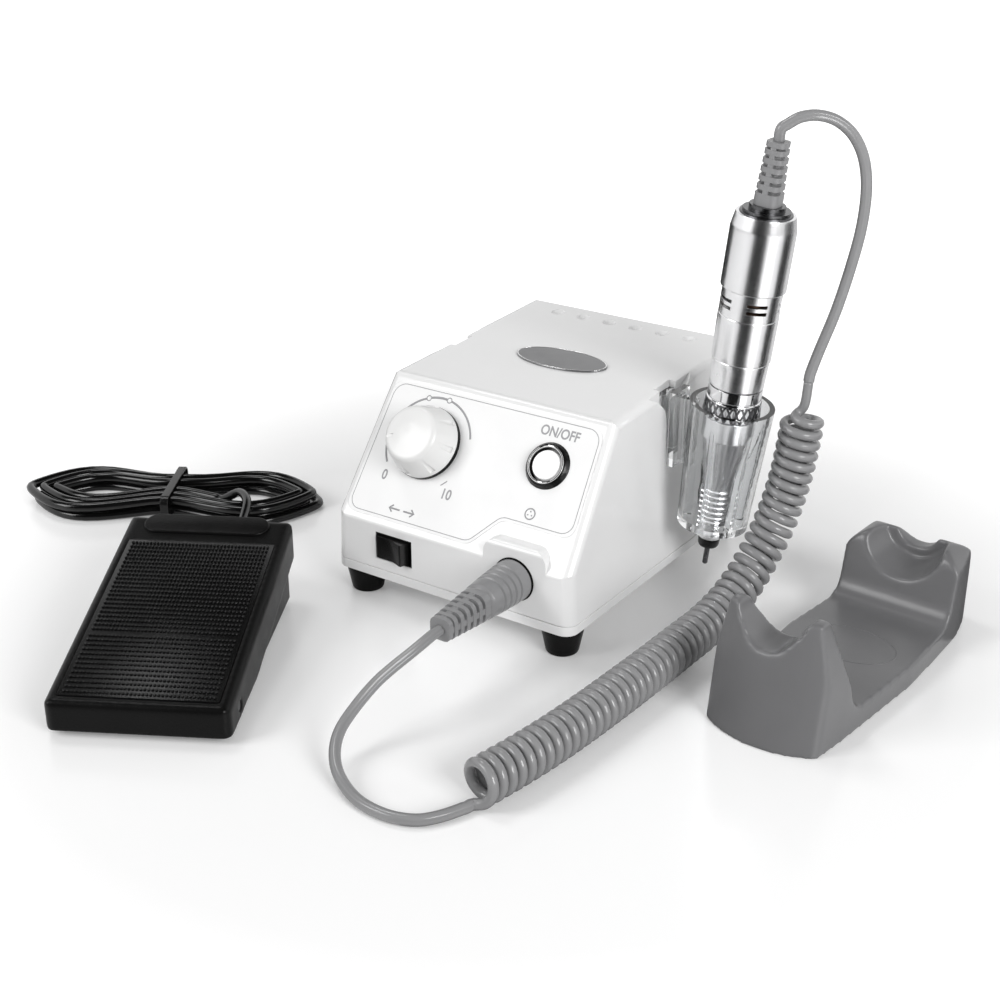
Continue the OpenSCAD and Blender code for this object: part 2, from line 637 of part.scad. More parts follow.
module at_socket() { at_box() translate([boss_x, -socket_out, socket_z]) rotate([-90, 0, 0]) children(); }
module motor_socket() {
  color("dimgray") at_socket() difference() {
    union() {
      cylinder(r = socket_r, h = socket_len);
      translate([0, 0, socket_out + boss_d]) cylinder(r = socket_r + 2.5, h = 2);
      for (k = [0 : 2]) rotate([0, 0, 120 * k]) translate([3, 0, socket_len]) cylinder(r = 0.9, h = 5);
    }
    difference() {
      translate([0, 0, -1]) cylinder(r = plug_nose_r + 0.05, h = socket_len - 2);
      for (k = [0 : 2]) rotate([0, 0, 120 * k]) translate([2.6, 0, 2]) cylinder(r = 0.8, h = 30);
    }
  }
}
module plug_body() {
  l = plug_len;
  color("gray") at_socket() rotate([180, 0, 0]) difference() {
    rotate_extrude() polygon([[0, -12], [plug_nose_r, -12], [plug_nose_r, 0], [plug_r, 0], [plug_r, 6],
      [plug_r - 0.7, 6.3], [plug_r - 0.7, 7.3], [plug_r - 0.1, 7.6], [plug_r - 0.2, 9.6],
      [plug_r - 0.9, 9.9], [plug_r - 0.9, 10.9], [plug_r - 0.3, 11.2], [plug_r - 0.4, 13.2],
      [plug_r - 1.1, 13.5], [plug_r - 1.1, 14.5], [plug_r - 0.5, 14.8], [plug_r - 0.7, 17],
      [plug_r - 1.4, 17.3], [plug_r - 1.4, 18.3], [plug_r - 0.8, 18.6], [plug_r - 1.2, l - 1.5],
      [plug_r - 2.6, l], [0, l]]);
    translate([0, 0, -13]) cylinder(r = plug_nose_r - 1.2, h = 12.5);
  }
}
// Strain relief: a core with plates and ribs, narrowing from w0 to w1
module relief(len, w0, w1, n, collar) {
  p = (len - collar - 3) / n;
  function w(z) = w0 + (w1 - w0) * z / len;
  difference() {
    union() {
      linear_extrude(collar) polygon(rounded([[-w0, -w0], [w0, -w0], [w0, w0], [-w0, w0]],
        [w0 * 0.6, w0 * 0.6, w0 * 0.6, w0 * 0.6], 4));
      cylinder(r1 = w0 * 0.66, r2 = w1 * 0.66, h = len);
      for (k = [0 : n]) translate([0, 0, min(collar + k * p + p * 0.4, len - p * 0.6)])
        linear_extrude(p * 0.6) let (q = w(collar + k * p), r = q * 0.55)
          polygon(rounded([[-q, -q], [q, -q], [q, q], [-q, q]], [r, r, r, r], 3));
      for (a = [0, 90]) rotate([0, 0, a]) translate([-w1 * 0.28, 0, collar - 1])
        rotate([90, 0, 90]) linear_extrude(w1 * 0.56)
          polygon([[-w0 * 0.98, 0], [w0 * 0.98, 0], [w1 * 0.98, len - collar + 1], [-w1 * 0.98,
          len - collar + 1]]);
    }
    translate([0, 0, len]) cylinder(r = 3 * w0, h = 10);
  }
}
module plug_relief() {
  color("gray") at_socket() rotate([180, 0, 0]) translate([0, 0, plug_len])
    relief(plug_relief_len, plug_r - 2.7, 4.6, 5, 4);
}

module board_post(x, y, h) { translate([x, y, base_z + wall]) cylinder(r = 3, h = h); }
tr_w = 58;
tr_d = 48;
tr_h = 46;
tr_yoke = 10;
tr_at = [40 - box_w / 2, box_d - 56.5];
module transformer_core() {
  z = base_z + wall;
  color("darkslategray") at_box() translate([tr_at.x, tr_at.y, z]) difference() {
    union() {
      translate([-tr_w / 2, -tr_d / 4, 0]) cube([tr_w, tr_d / 2, tr_h]);
      translate([-tr_w / 2 - 6, -tr_d / 4, 0]) cube([tr_w + 12, tr_d / 2, 2]);
    }
    for (s = [-1, 1]) translate([s * tr_w / 4 - tr_w / 10, -tr_d, tr_yoke])
      cube([tr_w / 5, 2 * tr_d, tr_h - 2 * tr_yoke]);
  }
}
module transformer_winding() {
  z = base_z + wall;
  g = 0.2;
  color("goldenrod") at_box() translate([tr_at.x, tr_at.y, z + tr_yoke + g]) difference() {
    translate([-tr_w / 4 - tr_w / 10 + g, -tr_d / 2, 0])
      cube([tr_w / 2 + tr_w / 5 - 2 * g, tr_d, tr_h - 2 * tr_yoke - 2 * g]);
    translate([-tr_w / 4 + tr_w / 10 - g, -tr_d / 4 - g, -1])
      cube([tr_w / 2 - tr_w / 5 + 2 * g, tr_d / 2 + 2 * g, tr_h]);
  }
}
module control_board() {
  z = base_z + wall;
  color("darkgreen") at_box() translate([box_w / 2 - 47, box_d - 112.5, 0]) union() {
    for (x = [5, 33], y = [6, 66]) board_post(x, y, 6);
    translate([0, 0, z + 6]) cube([38, 72, 1.6]);
    translate([7, 12, z + 7.5]) cube([24, 3, 20]);
    for (i = [0 : 2]) translate([9 + 9 * i, 28, z + 7.5]) cylinder(r = 4, h = 14);
    translate([7, 42, z + 7.5]) cube([20, 16, 7]);
  }
}
module mains_inlet() {
  color("black") at_box() translate([inlet_x, box_d, inlet_z]) difference() {
    union() {
      translate([-inlet_w / 2 - 4, 0, -inlet_h / 2 - 4]) cube([inlet_w + 8, 1.6, inlet_h + 8]);
      translate([-inlet_w / 2 - 1.8, -14, -inlet_h / 2 - 1.8]) cube([inlet_w + 3.6, 15, inlet_h + 3.6]);
    }
    difference() {
      translate([-inlet_w / 2, -12, -inlet_h / 2]) cube([inlet_w, 20, inlet_h]);
      for (s = [-1, 1]) translate([s * 4.3, -13, 0]) rotate([-90, 0, 0]) cylinder(r = 1.2, h = 11);
    }
  }
}
module fuse_holder() {
  color("black") at_box() translate([fuse_at.x, box_d, fuse_at.y]) rotate([90, 0, 0]) difference() {
    union() {
      translate([0, 0, -3]) cylinder(r = fuse_at.z + 1.6, h = 3);
      cylinder(r = fuse_at.z - 0.1, h = 26);
    }
    translate([-4, -0.6, -4]) cube([8, 1.2, 2]);
  }
}
module pedal_socket() {
  color("dimgray") at_box() translate([jack_at.x, box_d, jack_at.y]) rotate([90, 0, 0]) difference() {
    union() {
      translate([0, 0, -1]) cube([2 * jack_at.z + 3, 2 * jack_at.z + 3, 2], center = true);
      translate([0.1 - jack_at.z, 0.1 - jack_at.z, 0]) cube([2 * jack_at.z - 0.2, 2 * jack_at.z - 0.2,
        jack_len + 3]);
    }
    translate([0, 0, -3]) cylinder(r = jack_r, h = jack_len + 1);
  }
}

// Holder: a leaning cup on an upright rail
cup_s = 11.6;
function cup_r(s) = cup_r2 + (cup_r1 - cup_r2) * (s - cup_s) / cup_h;
taper_s0 = 33;
taper_s1 = 54;
grip_top_r = 10.4;
function grip_at(s) = grip_r + (grip_top_r - grip_r) * (s - taper_s0) / (taper_s1 - taper_s0);
module holder_cup() {
  s1 = cup_s + cup_h;
  g = slot_gap;
  color("aliceblue", 0.5) at_box() difference() {
    union() {
      at_nose() difference() {
        rotate_extrude() polygon([[0, cup_s], [cup_r2, cup_s], [cup_r1, s1], [0, s1]]);
        rotate_extrude() polygon([[0, cup_s + cup_floor], [cup_r(cup_s + cup_floor) - cup_wall,
          cup_s + cup_floor],
          [cup_r1 - cup_wall, s1], [cup_r1 - cup_wall, s1 + 1], [0, s1 + 1]]);
      }
      at_nose() intersection() {
        rotate_extrude() polygon([[grip_r + 0.6, cup_s + cup_floor - 1], [cup_r2 - 1,
        cup_s + cup_floor - 1],
          [cup_r(s1 - 8) - 1, s1 - 8], [cup_r(s1 - 8) - 2.5, s1 - 8], [grip_at(taper_s0) + 1, taper_s0]]);
        for (k = [0 : cup_ribs - 1]) rotate([0, 0, (k + 0.5) * 360 / cup_ribs])
          translate([0, -0.8, 0]) cube([30, 1.6, 80]);
      }
      translate([slot_x - 2.6, slot_y - slot_half + g, slot_z + g])
        cube([5.4, 2 * (slot_half - g), 26]);
      translate([slot_x - 5.2 + g, slot_y - slot_half - 2 + g, slot_z + g])
        cube([3 - 2 * g, 2 * (slot_half + 2 - g), 26]);
      translate([slot_x + 2.4, slot_y - slot_half - 1.5, slot_z - 5]) cube([3, 2 * slot_half + 3, 34]);
      translate([slot_x + 5, slot_y - 2.2, slot_z - 4])
        cube([nose_x + (slot_z - nose_z) * tan(lean) - cup_r2 - slot_x - 5 + 1, 4.4, 30]);
    }
    at_nose() translate([0, 0, cup_s - 5]) cylinder(r = grip_r - 0.25, h = 40);
    at_nose() rotate_extrude() polygon([[0, cup_s + cup_floor],
      [cup_r(cup_s + cup_floor) - cup_wall - 4, cup_s + cup_floor],
      [cup_r1 - cup_wall - 3, s1], [cup_r1 - cup_wall, s1], [cup_r1 - cup_wall, s1 + 20], [0, s1 + 20]]);
  }
}

// Handpiece: lengths along its axis from the nose
s_cone = 4.5;
s_grip = 16;
s_band = 63.7;
s_ring = 77.8;
s_case = 90;
s_vent = 109.5;
s_rear = 121;
s_cap = s_rear + rear_len - 2.5;
s_boot = s_cap + 6;
collet_r = 3.4;
bear_r1 = 5.7;
bear_r2 = 6.4;
bore_r = case_r - 1.8;
module turned(p) { at_box() at_nose() rotate_extrude() polygon(p); }
module nose_tip() {
  color("black") turned([[collet_r - 0.6, 0], [4.1, 0], [4.6, 1], [4.9, s_cone], [collet_r + 0.3, s_cone],
    [collet_r + 0.3, 2.5], [collet_r - 0.6, 1.5]]);
}
module nose_cone() {
  color("silver") turned([[collet_r + 0.3, s_cone], [5, s_cone], [grip_r - 0.7, s_grip - 0.5],
  [grip_r - 0.7, s_grip],
    [collet_r + 0.3, s_grip]]);
}
module grip_sleeve() {
  n = 6;
  p = (taper_s0 - s_grip - 2) / n;
  color("silver") turned(concat(
    [[bear_r1, s_grip], [grip_r, s_grip], [grip_r, s_grip + 1]],
    [for (k = [0 : n - 1]) each [[grip_r, s_grip + 1 + k * p], [grip_r - 0.4, s_grip + 1 + k * p + 0.3],
      [grip_r - 0.4, s_grip + 1 + k * p + 0.8], [grip_r, s_grip + 1 + k * p + 1.1]]],
    [[grip_r, taper_s0], [grip_top_r, taper_s1], [collar_r - 0.4, taper_s1 + 0.5], [collar_r - 0.4, s_band],
     [stub_r, s_band], [stub_r, s_case - 4], [bear_r2, s_case - 4], [bear_r2, s_ring], [bear_r1 + 0.3,
     s_ring],
     [bear_r1 + 0.3, 56.5], [bear_r1, 56.5], [bear_r1, 48], [4.4, 48], [4.4, 24], [bear_r1, 24]]));
}
module lock_collar() {
  r = collar_r;
  color("silver") turned([[stub_r + run_gap, s_band + 0.3], [r - 0.2, s_band + 0.3], [r, s_band + 1],
    [r, s_ring - 6],
    [r - 0.5, s_ring - 5.6], [r - 0.1, s_ring - 5], [r - 0.1, s_ring - 0.3], [stub_r + run_gap,
      s_ring - 0.3]]);
}
module body_ring() {
  color("silver") turned([[stub_r + 0.02, s_ring], [collar_r - 0.2, s_ring], [collar_r - 0.1, s_ring + 0.6],
    [case_r - 0.6, s_case - 0.6], [case_r - 0.8, s_case], [stub_r + 0.02, s_case]]);
}
module motor_case() {
  color("silver") turned([[bore_r, s_case], [case_r - 0.4, s_case], [case_r - 0.2, s_case + 0.5],
  [case_r, s_vent - 0.5],
    [case_r - 0.2, s_vent], [bore_r, s_vent]]);
}
module vent_ring() {
  m = (s_vent + s_rear) / 2;
  color("silver") at_box() at_nose() difference() {
    rotate_extrude() polygon([[bore_r, s_vent], [case_r - 0.1, s_vent], [case_r - 0.1, s_rear],
    [bore_r, s_rear]]);
    for (k = [0 : 4], s = [-1, 1]) rotate([0, 0, 72 * k + 20]) translate([0, -4.2, m + s * 1.5 - 0.7])
      cube([20, 8.4, 1.4]);
  }
}
module rear_sleeve() {
  e = s_rear + rear_len;
  color("silver") turned([[bore_r, s_rear], [rear_r - 0.3, s_rear], [rear_r, s_rear + 0.4], [rear_r,
    e - 6.5],
    [rear_r - 1.3, e], [bore_r, e]]);
}
module rear_cap() {
  e = s_rear + rear_len;
  color("dimgray") turned([[0, s_cap], [bore_r, s_cap], [bore_r, e + 0.4], [9.8, e + 0.4], [9.8, e + 1.6],
    [7.4, e + 1.6], [7.4, s_boot], [0, s_boot]]);
}
module cord_boot() {
  color("gray") at_box() at_nose() translate([0, 0, s_boot]) relief(boot_len, 5.2, 4, 5, 5);
}
module spindle() {
  color("gainsboro") turned([[shank_r + 0.02, 1.8], [2.2, 1.8], [collet_r - 0.1, 4], [collet_r - 0.1,
  s_grip - 0.3],
    [spindle_r, s_grip], [spindle_r, 62], [4.8, 62], [4.8, 70], [0, 70], [0, 22.5], [shank_r + 0.02,
    22.5]]);
}
module drill_bit() {
  color("silver") turned([[0, -9.5], [shank_r - 0.3, -9.5], [shank_r, -9.1], [shank_r, 22], [0, 22]]);
}
module bearings() {
  color("silver") at_box() at_nose() {
    for (s = [s_grip + 0.3, 48.3]) ring(s, s + 7.4, bear_r1 - 0.05, spindle_r + run_gap);
    for (s = [s_ring + 0.3, s_cap - 7]) ring(s, s + 6.5, bear_r2 - 0.05, spindle_r + run_gap);
  }
}
module rotor() {
  color("saddlebrown") turned([[0, 70], [spindle_r, 70], [spindle_r, s_case + 2], [8, s_case + 2], [8,
  s_case + 27],
    [spindle_r, s_case + 27], [spindle_r, s_case + 31], [5, s_case + 31], [5, s_case + 41], [spindle_r,
    s_case + 41],
    [spindle_r, s_cap - 0.6], [0, s_cap - 0.6]]);
}
module magnet_ring() {
  color("dimgray") turned([[8.5, s_case + 0.5], [bore_r - 0.05, s_case + 0.5], [bore_r - 0.05,
  s_vent - 0.5], [8.5, s_vent - 0.5]]);
}
module brush_holder() {
  color("peru") turned([[5.3, s_rear + 1], [bore_r - 0.05, s_rear + 1], [bore_r - 0.05, s_cap],
  [bear_r2, s_cap],
    [bear_r2, s_cap - 8], [5.3, s_cap - 8]]);
}

// Routes of the handpiece cord, from the front middle of the box
lead_route = [[boss_x, -52, 32], [boss_x, -57, 32], [boss_x - 0.5, -62.5, 30.9], [boss_x - 2, -69, 28.7],
  [boss_x - 4.5, -76.5, 25.5], [boss_x - 6.8, -84.5, 21.7], [boss_x - 8.2, -95.5, 16], [26.4, -105.5, 11],
  [31, -114, 7], [39.2, -121, 4.2], [52, -126.8, 2.8], [65.5, -128, 2.6], [76, -124.5, 2.6], [82,
    -117.5, 2.6],
  [86.2, -108.5, 2.6]];
curl_route = [[86.2, -108.5, 9.8], [88.4, -97, 9.8], [91.2, -82, 9.8], [94, -62, 9.8], [96.4, -35, 9.8],
  [98.4, 0, 9.8], [99.4, 26, 9.8], [100.6, 45, 10.5], [102, 62, 14], [104, 76, 22], [106.6, 86, 34],
  [109.5, 92, 48], [112, 95.5, 64], [113.5, 97.5, 80], [114.5, 98.5, 95], [115, 99, 106]];
tail_route = [[115.02, 99.02, 106.1], [115.2, 99.15, 108.4], [115.8, 99.6, 111.6], [117.8, 101.2, 120],
  [122.2, 104.3, 137], [125.8, 107, 156], [128, 108.5, 172], [128.4, 108.6, 187],
  [126.6, 107.2, 199], [122.8, 104, 208], [117.4, 99.8, 213.6], [111.5, 95.4, 215.8],
  [106, 91.5, 215.2], [102, 88.6, 212.6]];
boot_end = [nose_x, slot_y, nose_z] + (s_boot + boot_len) * [sin(lean), 0, cos(lean)];
boot_dir = [sin(lean), 0, cos(lean)];
module handpiece_lead() {
  p = curve(lead_route, 2);
  color("gray") at_box() tube(p, lead_d, 10);
}

// Curls: a helix round a smooth axis, with an eased start at the table and an eased end on the axis
curl_m = curl_wire / 2;
curl_rc = curl_od / 2 - curl_m;
curl_axis = curve(curl_route, 8);
curl_len = sums([for (i = [1 : len(curl_axis) - 1]) norm(curl_axis[i] - curl_axis[i - 1])]);
curl_x = [for (i = [0 : len(curl_axis) - 1]) [curl_len[i], curl_axis[i].x]];
curl_y = [for (i = [0 : len(curl_axis) - 1]) [curl_len[i], curl_axis[i].y]];
curl_z = [for (i = [0 : len(curl_axis) - 1]) [curl_len[i], curl_axis[i].z]];
curl_total = curl_len[len(curl_axis) - 1];
function curl_c(a) = [lookup(a, curl_x), lookup(a, curl_y), lookup(a, curl_z)];
function curl_t(a) = unit(curl_c(min(a + 3, curl_total)) - curl_c(max(a - 3, 0)));
// Steps of the wire: share of an eighth turn, run along the axis and share of the radius
curl_i = 8 * curl_n;
curl_ease = 6;
curl_share = [for (i = [0 : curl_i - 1]) smooth((i - 1) / curl_ease) * smooth((curl_i - 2 - i) / curl_ease)];
curl_turn = sums([for (s = curl_share) 45 * s]);
curl_rush = [for (i = [0 : curl_i - 1]) (1 - curl_share[i]) * (i < curl_i / 2 ? 1.2 : 3.2)];
function curl_open(i) = 1 + 0.13 * exp(-pow((i - 0.66 * curl_i) / 60, 2));
curl_weight = [for (i = [0 : curl_i - 1]) curl_share[i] * curl_open(i)];
curl_pitch = (curl_total - sums(curl_rush)[curl_i]) / sums(curl_weight)[curl_i];
curl_run = sums([for (i = [0 : curl_i - 1]) curl_weight[i] * curl_pitch + curl_rush[i]]);
curl_points = [for (i = [0 : curl_i])
  let (a = curl_run[i], c = curl_c(a), t = curl_t(a), n1 = across(t, [1, 0, 0]), n2 = cross(n1, t),
       q = curl_turn[i] - 90, r = curl_rc * smooth((curl_i - i - 2) / 9))
  c + r * (cos(q) * n1 + sin(q) * (n2.z < 0 || n2.y > 0.9 ? -n2 : n2))];
module handpiece_coil() {
  echo(curl_gap = self_gap(curl_points, curl_wire, 5, 20), curl_pitch = curl_pitch * 8);
  color("gray") at_box() tube(curl_points, curl_wire, 6);
}
module handpiece_tail() {
  p = concat(curve(tail_route, 2), [boot_end + 4.6 * boot_dir, boot_end]);
  color("gray") at_box() tube(p, lead_d, 10);
}

// Pedal: X across, Y from the heel, treadle turned about the pin
function ped_top(b) = ped_heel + ped_rise * b;
ped_foot_z = ped_foot_h;
base_len = ped_len - 7;
base_half = ped_w / 2 - ped_wall - ped_gap;
function skirt_low(b) = b < 45 ? 2.5 + b / 30 : 4 + (b - 45) * (ped_top(ped_len) - 17 - 4) / (ped_len - 45);
module pedal_treadle() {
  w = ped_w;
  t = ped_wall;
  l = ped_len;
  color("black") at_pedal() difference() {
    intersection() {
      along_x(-w / 2, w) polygon(rounded([[-1.5, skirt_low(0)], [-1.5, ped_top(0)], [l - 1.5, ped_top(l)],
        [l - 1.5, skirt_low(l)], [45, skirt_low(45)]], [1, 3.5, 3.5, 1, 0]));
      translate([0, 0, ped_top(0)]) rotate([atan(ped_rise), 0, 0]) along_y(-l, 3 * l)
        polygon(rounded([[-w / 2, -60], [-w / 2, 0], [w / 2, 0], [w / 2, -60]], [0, 3.5, 3.5, 0]));
      translate([0, -1.5, 0]) linear_extrude(60) polygon(rounded([[-w / 2, 0], [w / 2, 0], [w / 2, l],
        [-w / 2, l]],
        [4, 4, 4, 4]));
    }
    along_x(-w / 2 + t, w - 2 * t) polygon([[-1.5 + t, -5], [-1.5 + t, ped_top(0) - t], [l - 1.5 - t,
      ped_top(l) - t - 0.3],
      [l - 1.5 - t, -5]]);
    translate([0, 0, ped_top(0) - 0.7]) rotate([atan(ped_rise), 0, 0]) translate([-mat_w / 2, mat_b0, 0])
      cube([mat_w, mat_len, 5]);
    translate([-w, ped_pin_b, ped_pin_z]) rotate([0, 90, 0]) cylinder(r = ped_pin_r + run_gap, h = 2 * w);
  }
}
mat_w = ped_w - 9;
mat_b0 = 3;
mat_len = ped_len - 22;
module tread_mat() {
  color("black") at_pedal() translate([0, 0, ped_top(0) - 0.7]) rotate([atan(ped_rise), 0, 0]) union() {
    translate([-mat_w / 2 + 0.1, mat_b0 + 0.1, 0]) cube([mat_w - 0.2, mat_len - 0.2, 0.9]);
    for (i = [0 : floor((mat_len - 4) / 3)]) translate([-mat_w / 2 + 1, mat_b0 + 1.5 + 3 * i, 0.8])
      cube([mat_w - 2, 1.4, 0.5]);
  }
}
module pedal_base() {
  h = base_half;
  z0 = ped_foot_z;
  color("black") at_pedal() difference() {
    along_x(-h, 2 * h) polygon([[2.5, z0], [base_len, z0], [base_len, skirt_low(base_len) + 3], [90,
    skirt_low(90) + 2.5],
      [45, skirt_low(45) + 3.5], [2.5, ped_pin_z + 3]]);
    along_x(-h + ped_wall, 2 * (h - ped_wall)) polygon([[2.5 + ped_wall, z0 + ped_wall],
      [base_len - ped_wall, z0 + ped_wall],
      [base_len - ped_wall, 60], [2.5 + ped_wall, 60]]);
    translate([-ped_w, ped_pin_b, ped_pin_z]) rotate([0, 90, 0]) cylinder(r = ped_pin_r + 0.02,
      h = 2 * ped_w);
    translate([0, base_len - 10, gland_z]) rotate([-90, 0, 0]) cylinder(r = gland_r + 0.05, h = 30);
  }
}
gland_r = 3.6;
gland_z = ped_foot_z + 6;
module pedal_pin() {
  color("silver") at_pedal() translate([-ped_w / 2 + 0.6, ped_pin_b, ped_pin_z]) rotate([0, 90, 0])
    cylinder(r = ped_pin_r, h = ped_w - 1.2);
}
module pedal_feet() {
  color("dimgray") at_pedal() for (x = [-1, 1], b = [14, base_len - 12])
    translate([x * (base_half - 8), b, 0]) cylinder(r1 = 4.6, r2 = 5, h = ped_foot_h);
}
spring_b = 84;
spring_r = 6;
spring_n = 6;
spring_wire = 1.3;
module pedal_spring() {
  z0 = ped_foot_z + ped_wall + spring_wire / 2 + 0.02;
  z1 = ped_top(spring_b - spring_r) - ped_wall - spring_wire / 2 - 0.8;
  p = [for (i = [0 : 8 * spring_n]) let (t = i / 8 / spring_n, q = 45 * i)
    [spring_r * cos(q), spring_b + spring_r * sin(q), z0 + (z1 - z0) * t]];
  echo(spring_gap = self_gap(p, spring_wire, 8, 8));
  color("silver") at_pedal() tube(p, spring_wire, 6);
}
sw_b = 60;
sw_top = ped_foot_z + ped_wall + 9;
module pedal_switch() {
  z0 = ped_foot_z + ped_wall;
  color("dimgray") at_pedal() difference() {
    translate([-10, sw_b - 5, z0]) cube([20, 10, sw_top - z0]);
    translate([0, sw_b, z0 + 1]) cylinder(r = 2 + run_gap, h = 30);
  }
}
function sw_tip() = ped_top(sw_b - 2) - ped_wall - 0.8;
module switch_plunger() {
  color("white") at_pedal() translate([0, sw_b, sw_top - 4]) cylinder(r = 2, h = sw_tip() - sw_top + 4);
}
module pedal_gland() {
  color("black") at_pedal() translate([0, base_len, gland_z]) rotate([-90, 0, 0]) union() {
    translate([0, 0, -ped_wall - 3]) cylinder(r = gland_r, h = ped_wall + 3.1);
    cylinder(r = gland_r + 1, h = 1.6);
    relief(12, gland_r - 0.3, 3, 3, 3);
  }
}

// Hank: loops that spiral out on the table and in again on top, drawn in at the tie
hank_at = [-213, 24, 0];
hank_turn = 31;
hank_t0 = -93;
hank_turns = hank_loops + 0.06;
hank_layer = hank_d + 1;
hank_z = hank_d / 2 + 0.1;
function hank_point(t) =
  let (m = hank_turns / 2, r = m - abs(t - m), q = hank_t0 + 360 * t, b = sin(2 * q) * sin(2 * q),
       p = (58 + 6.6 * r) * cos(q), w = 2.8 + 6 * r + (12 + 1.5 * r) * b)
  [p, w * sin(q), hank_z + hank_layer * smooth((t - m + 0.25) / 0.5) + 1.1 * exp(-p * p / 200)];
hank_start = hank_point(0);
hank_dir = unit([hank_point(0.02).x - hank_start.x, hank_point(0.02).y - hank_start.y, 0]);
hank_end = hank_point(hank_turns);
hank_out = unit(hank_end - hank_point(hank_turns - 0.02));
hank_rings = round(24 * hank_turns);
hank_path = concat([hank_start - hank_d * hank_dir],
  [for (i = [0 : hank_rings]) hank_point(i * hank_turns / hank_rings)], [hank_end + hank_d * hank_out]);
module at_hank() { translate(hank_at) rotate([0, 0, hank_turn]) children(); }
module pedal_hank() {
  fine = [for (i = [0 : 4 * hank_rings]) hank_point(i * hank_turns / hank_rings / 4)];
  echo(hank_gap = self_gap(fine, hank_d, 30, 9999));
  color("black") at_hank() tube(hank_path, hank_d, 6);
}
module cord_tie() {
  w = 2.8 + 6 * hank_turns / 2 + hank_d / 2 + 0.5;
  h = hank_z + 1.1 + hank_layer + hank_d / 2 + 0.4;
  color("black") at_hank() translate([-2, 0, 0]) along_x(0, 4) difference() {
    polygon(rounded([[-w - 1, 0], [w + 1, 0], [w + 1, h + 1], [-w - 1, h + 1]], [2, 2, 4, 4], 4));
    polygon(rounded([[-w, 1], [w, 1], [w, h], [-w, h]], [1.5, 1.5, 3, 3], 4));
  }
}
module pedal_plug() {
  s = hank_start - hank_d * hank_dir;
  a = atan2(hank_dir.y, hank_dir.x);
  color("black") at_hank() translate(s) rotate([0, 0, a]) rotate([0, -90, 0]) union() {
    relief(10, 2.4, 3.2, 3, 1.5);
    translate([0, 0, 10]) cylinder(r = 3.2, h = 9);
    translate([0, 0, 18.9]) cylinder(r = 1.75, h = 14.1);
  }
}
lead_out = [for (k = [0, 1]) hank_end + (hank_d + k * 4.4) * hank_out];
pedal_route = [[36, -13, 13], [42, -24, 13.4], [43, -38, 11], [43, -52, 9.2]];
gland_end = [0, base_len + 12.5, gland_z];
function turn(p, a) = [p.x * cos(a) - p.y * sin(a), p.x * sin(a) + p.y * cos(a), p.z];
function to_hank(p) = turn(turn(p, ped_turn) + ped_at - hank_at, -hank_turn);
module pedal_lead() {
  p = concat(lead_out, pedal_route, [to_hank(gland_end + [0, 4.4, 0]), to_hank(gland_end)]);
  color("black") at_hank() tube(curve(p, 2), hank_d, 10);
}

// Rest: a side outline cut to its plan and to its front view
// Outline of the rest's front, bowed along its sides and left long at the rear
module rest_front() {
  w = rest_w / 2;
  polygon(rounded([[4 - w, 3], [0, -11], [w - 4, 3], [w - 2.5, 20], [w, 75], [w, rest_len + 10],
    [-w, rest_len + 10], [-w, 75], [2.5 - w, 20]], [4, 42, 4, 120, 250, 0, 0, 250, 120], 12));
}
module handpiece_rest() {
  l = rest_len;
  w = rest_w / 2;
  f = rest_floor;
  saddle_z = rest_block - 12 + rest_saddle;
  color("gray") at_rest() difference() {
    intersection() {
      along_x(-w, 2 * w)
        polygon(rounded([[-14, 0], [-14, rest_horn], [15, rest_horn], [29, f], [112, f], [118, rest_block],
          [l - 10, rest_block], [l - 4, 0]], [0, 0, 4, 8, 10, 7, 12, 0]));
      hull() {
        linear_extrude(0.1) rest_front();
        translate([0, rest_lean, rest_horn]) linear_extrude(0.1) rest_front();
      }
      linear_extrude(rest_horn)
        polygon(rounded([[-w, -20], [w, -20], [w, 75], [w - 3, l - 24], [w - 8, l - 4], [8 - w, l - 4],
          [3 - w, l - 24], [-w, 75]], [0, 0, 250, 70, 8, 8, 70, 250], 12));
      union() {
        along_y(-10, 70) polygon([[-w, 0], [-w, f], [9 - w, rest_horn], [w - 9, rest_horn], [w, f], [w,
        0]]);
        along_y(59, l)
          polygon(rounded([[-w, 0], [-w, f], [2 - w, rest_block + 1], [w - 2, rest_block + 1], [w, f],
          [w, 0]],
            [0, 0, 16, 16, 0, 0], 12));
      }
    }
    along_y(-10, 45) translate([0, rest_horn - rest_notch])
      polygon(rounded([[-18, 26], [-13.5, 10], [-5, 0], [5, 0], [13.5, 10], [18, 26]], [0, 14, 9, 9,
      14, 0], 8));
    translate([0, 105, saddle_z]) rotate([-90, 0, 0])
      cylinder(r1 = rest_saddle + rest_flare, r2 = rest_saddle, h = 26);
    translate([0, 105, saddle_z]) rotate([-90, 0, 0]) cylinder(r = rest_saddle - 4.5, h = 60);
  }
}

housing();
base_tray();
rubber_feet();
foot_screws();
panel_overlay();
badge();
bit_rack();
knob_cap();
knob_base();
pot_shaft();
pot_body();
panel_nuts();
button_bezel();
button_cap();
button_switch();
rocker_body();
rocker_paddle();
motor_socket();
transformer_core();
transformer_winding();
control_board();
mains_inlet();
fuse_holder();
pedal_socket();
holder_cup();
nose_tip();
nose_cone();
grip_sleeve();
lock_collar();
body_ring();
motor_case();
vent_ring();
rear_sleeve();
rear_cap();
cord_boot();
spindle();
drill_bit();
bearings();
rotor();
magnet_ring();
brush_holder();
plug_body();
plug_relief();
handpiece_lead();
handpiece_coil();
handpiece_tail();
pedal_base();
pedal_treadle();
tread_mat();
pedal_pin();
pedal_spring();
pedal_switch();
switch_plunger();
pedal_feet();
pedal_gland();
pedal_lead();
pedal_hank();
cord_tie();
pedal_plug();
handpiece_rest();
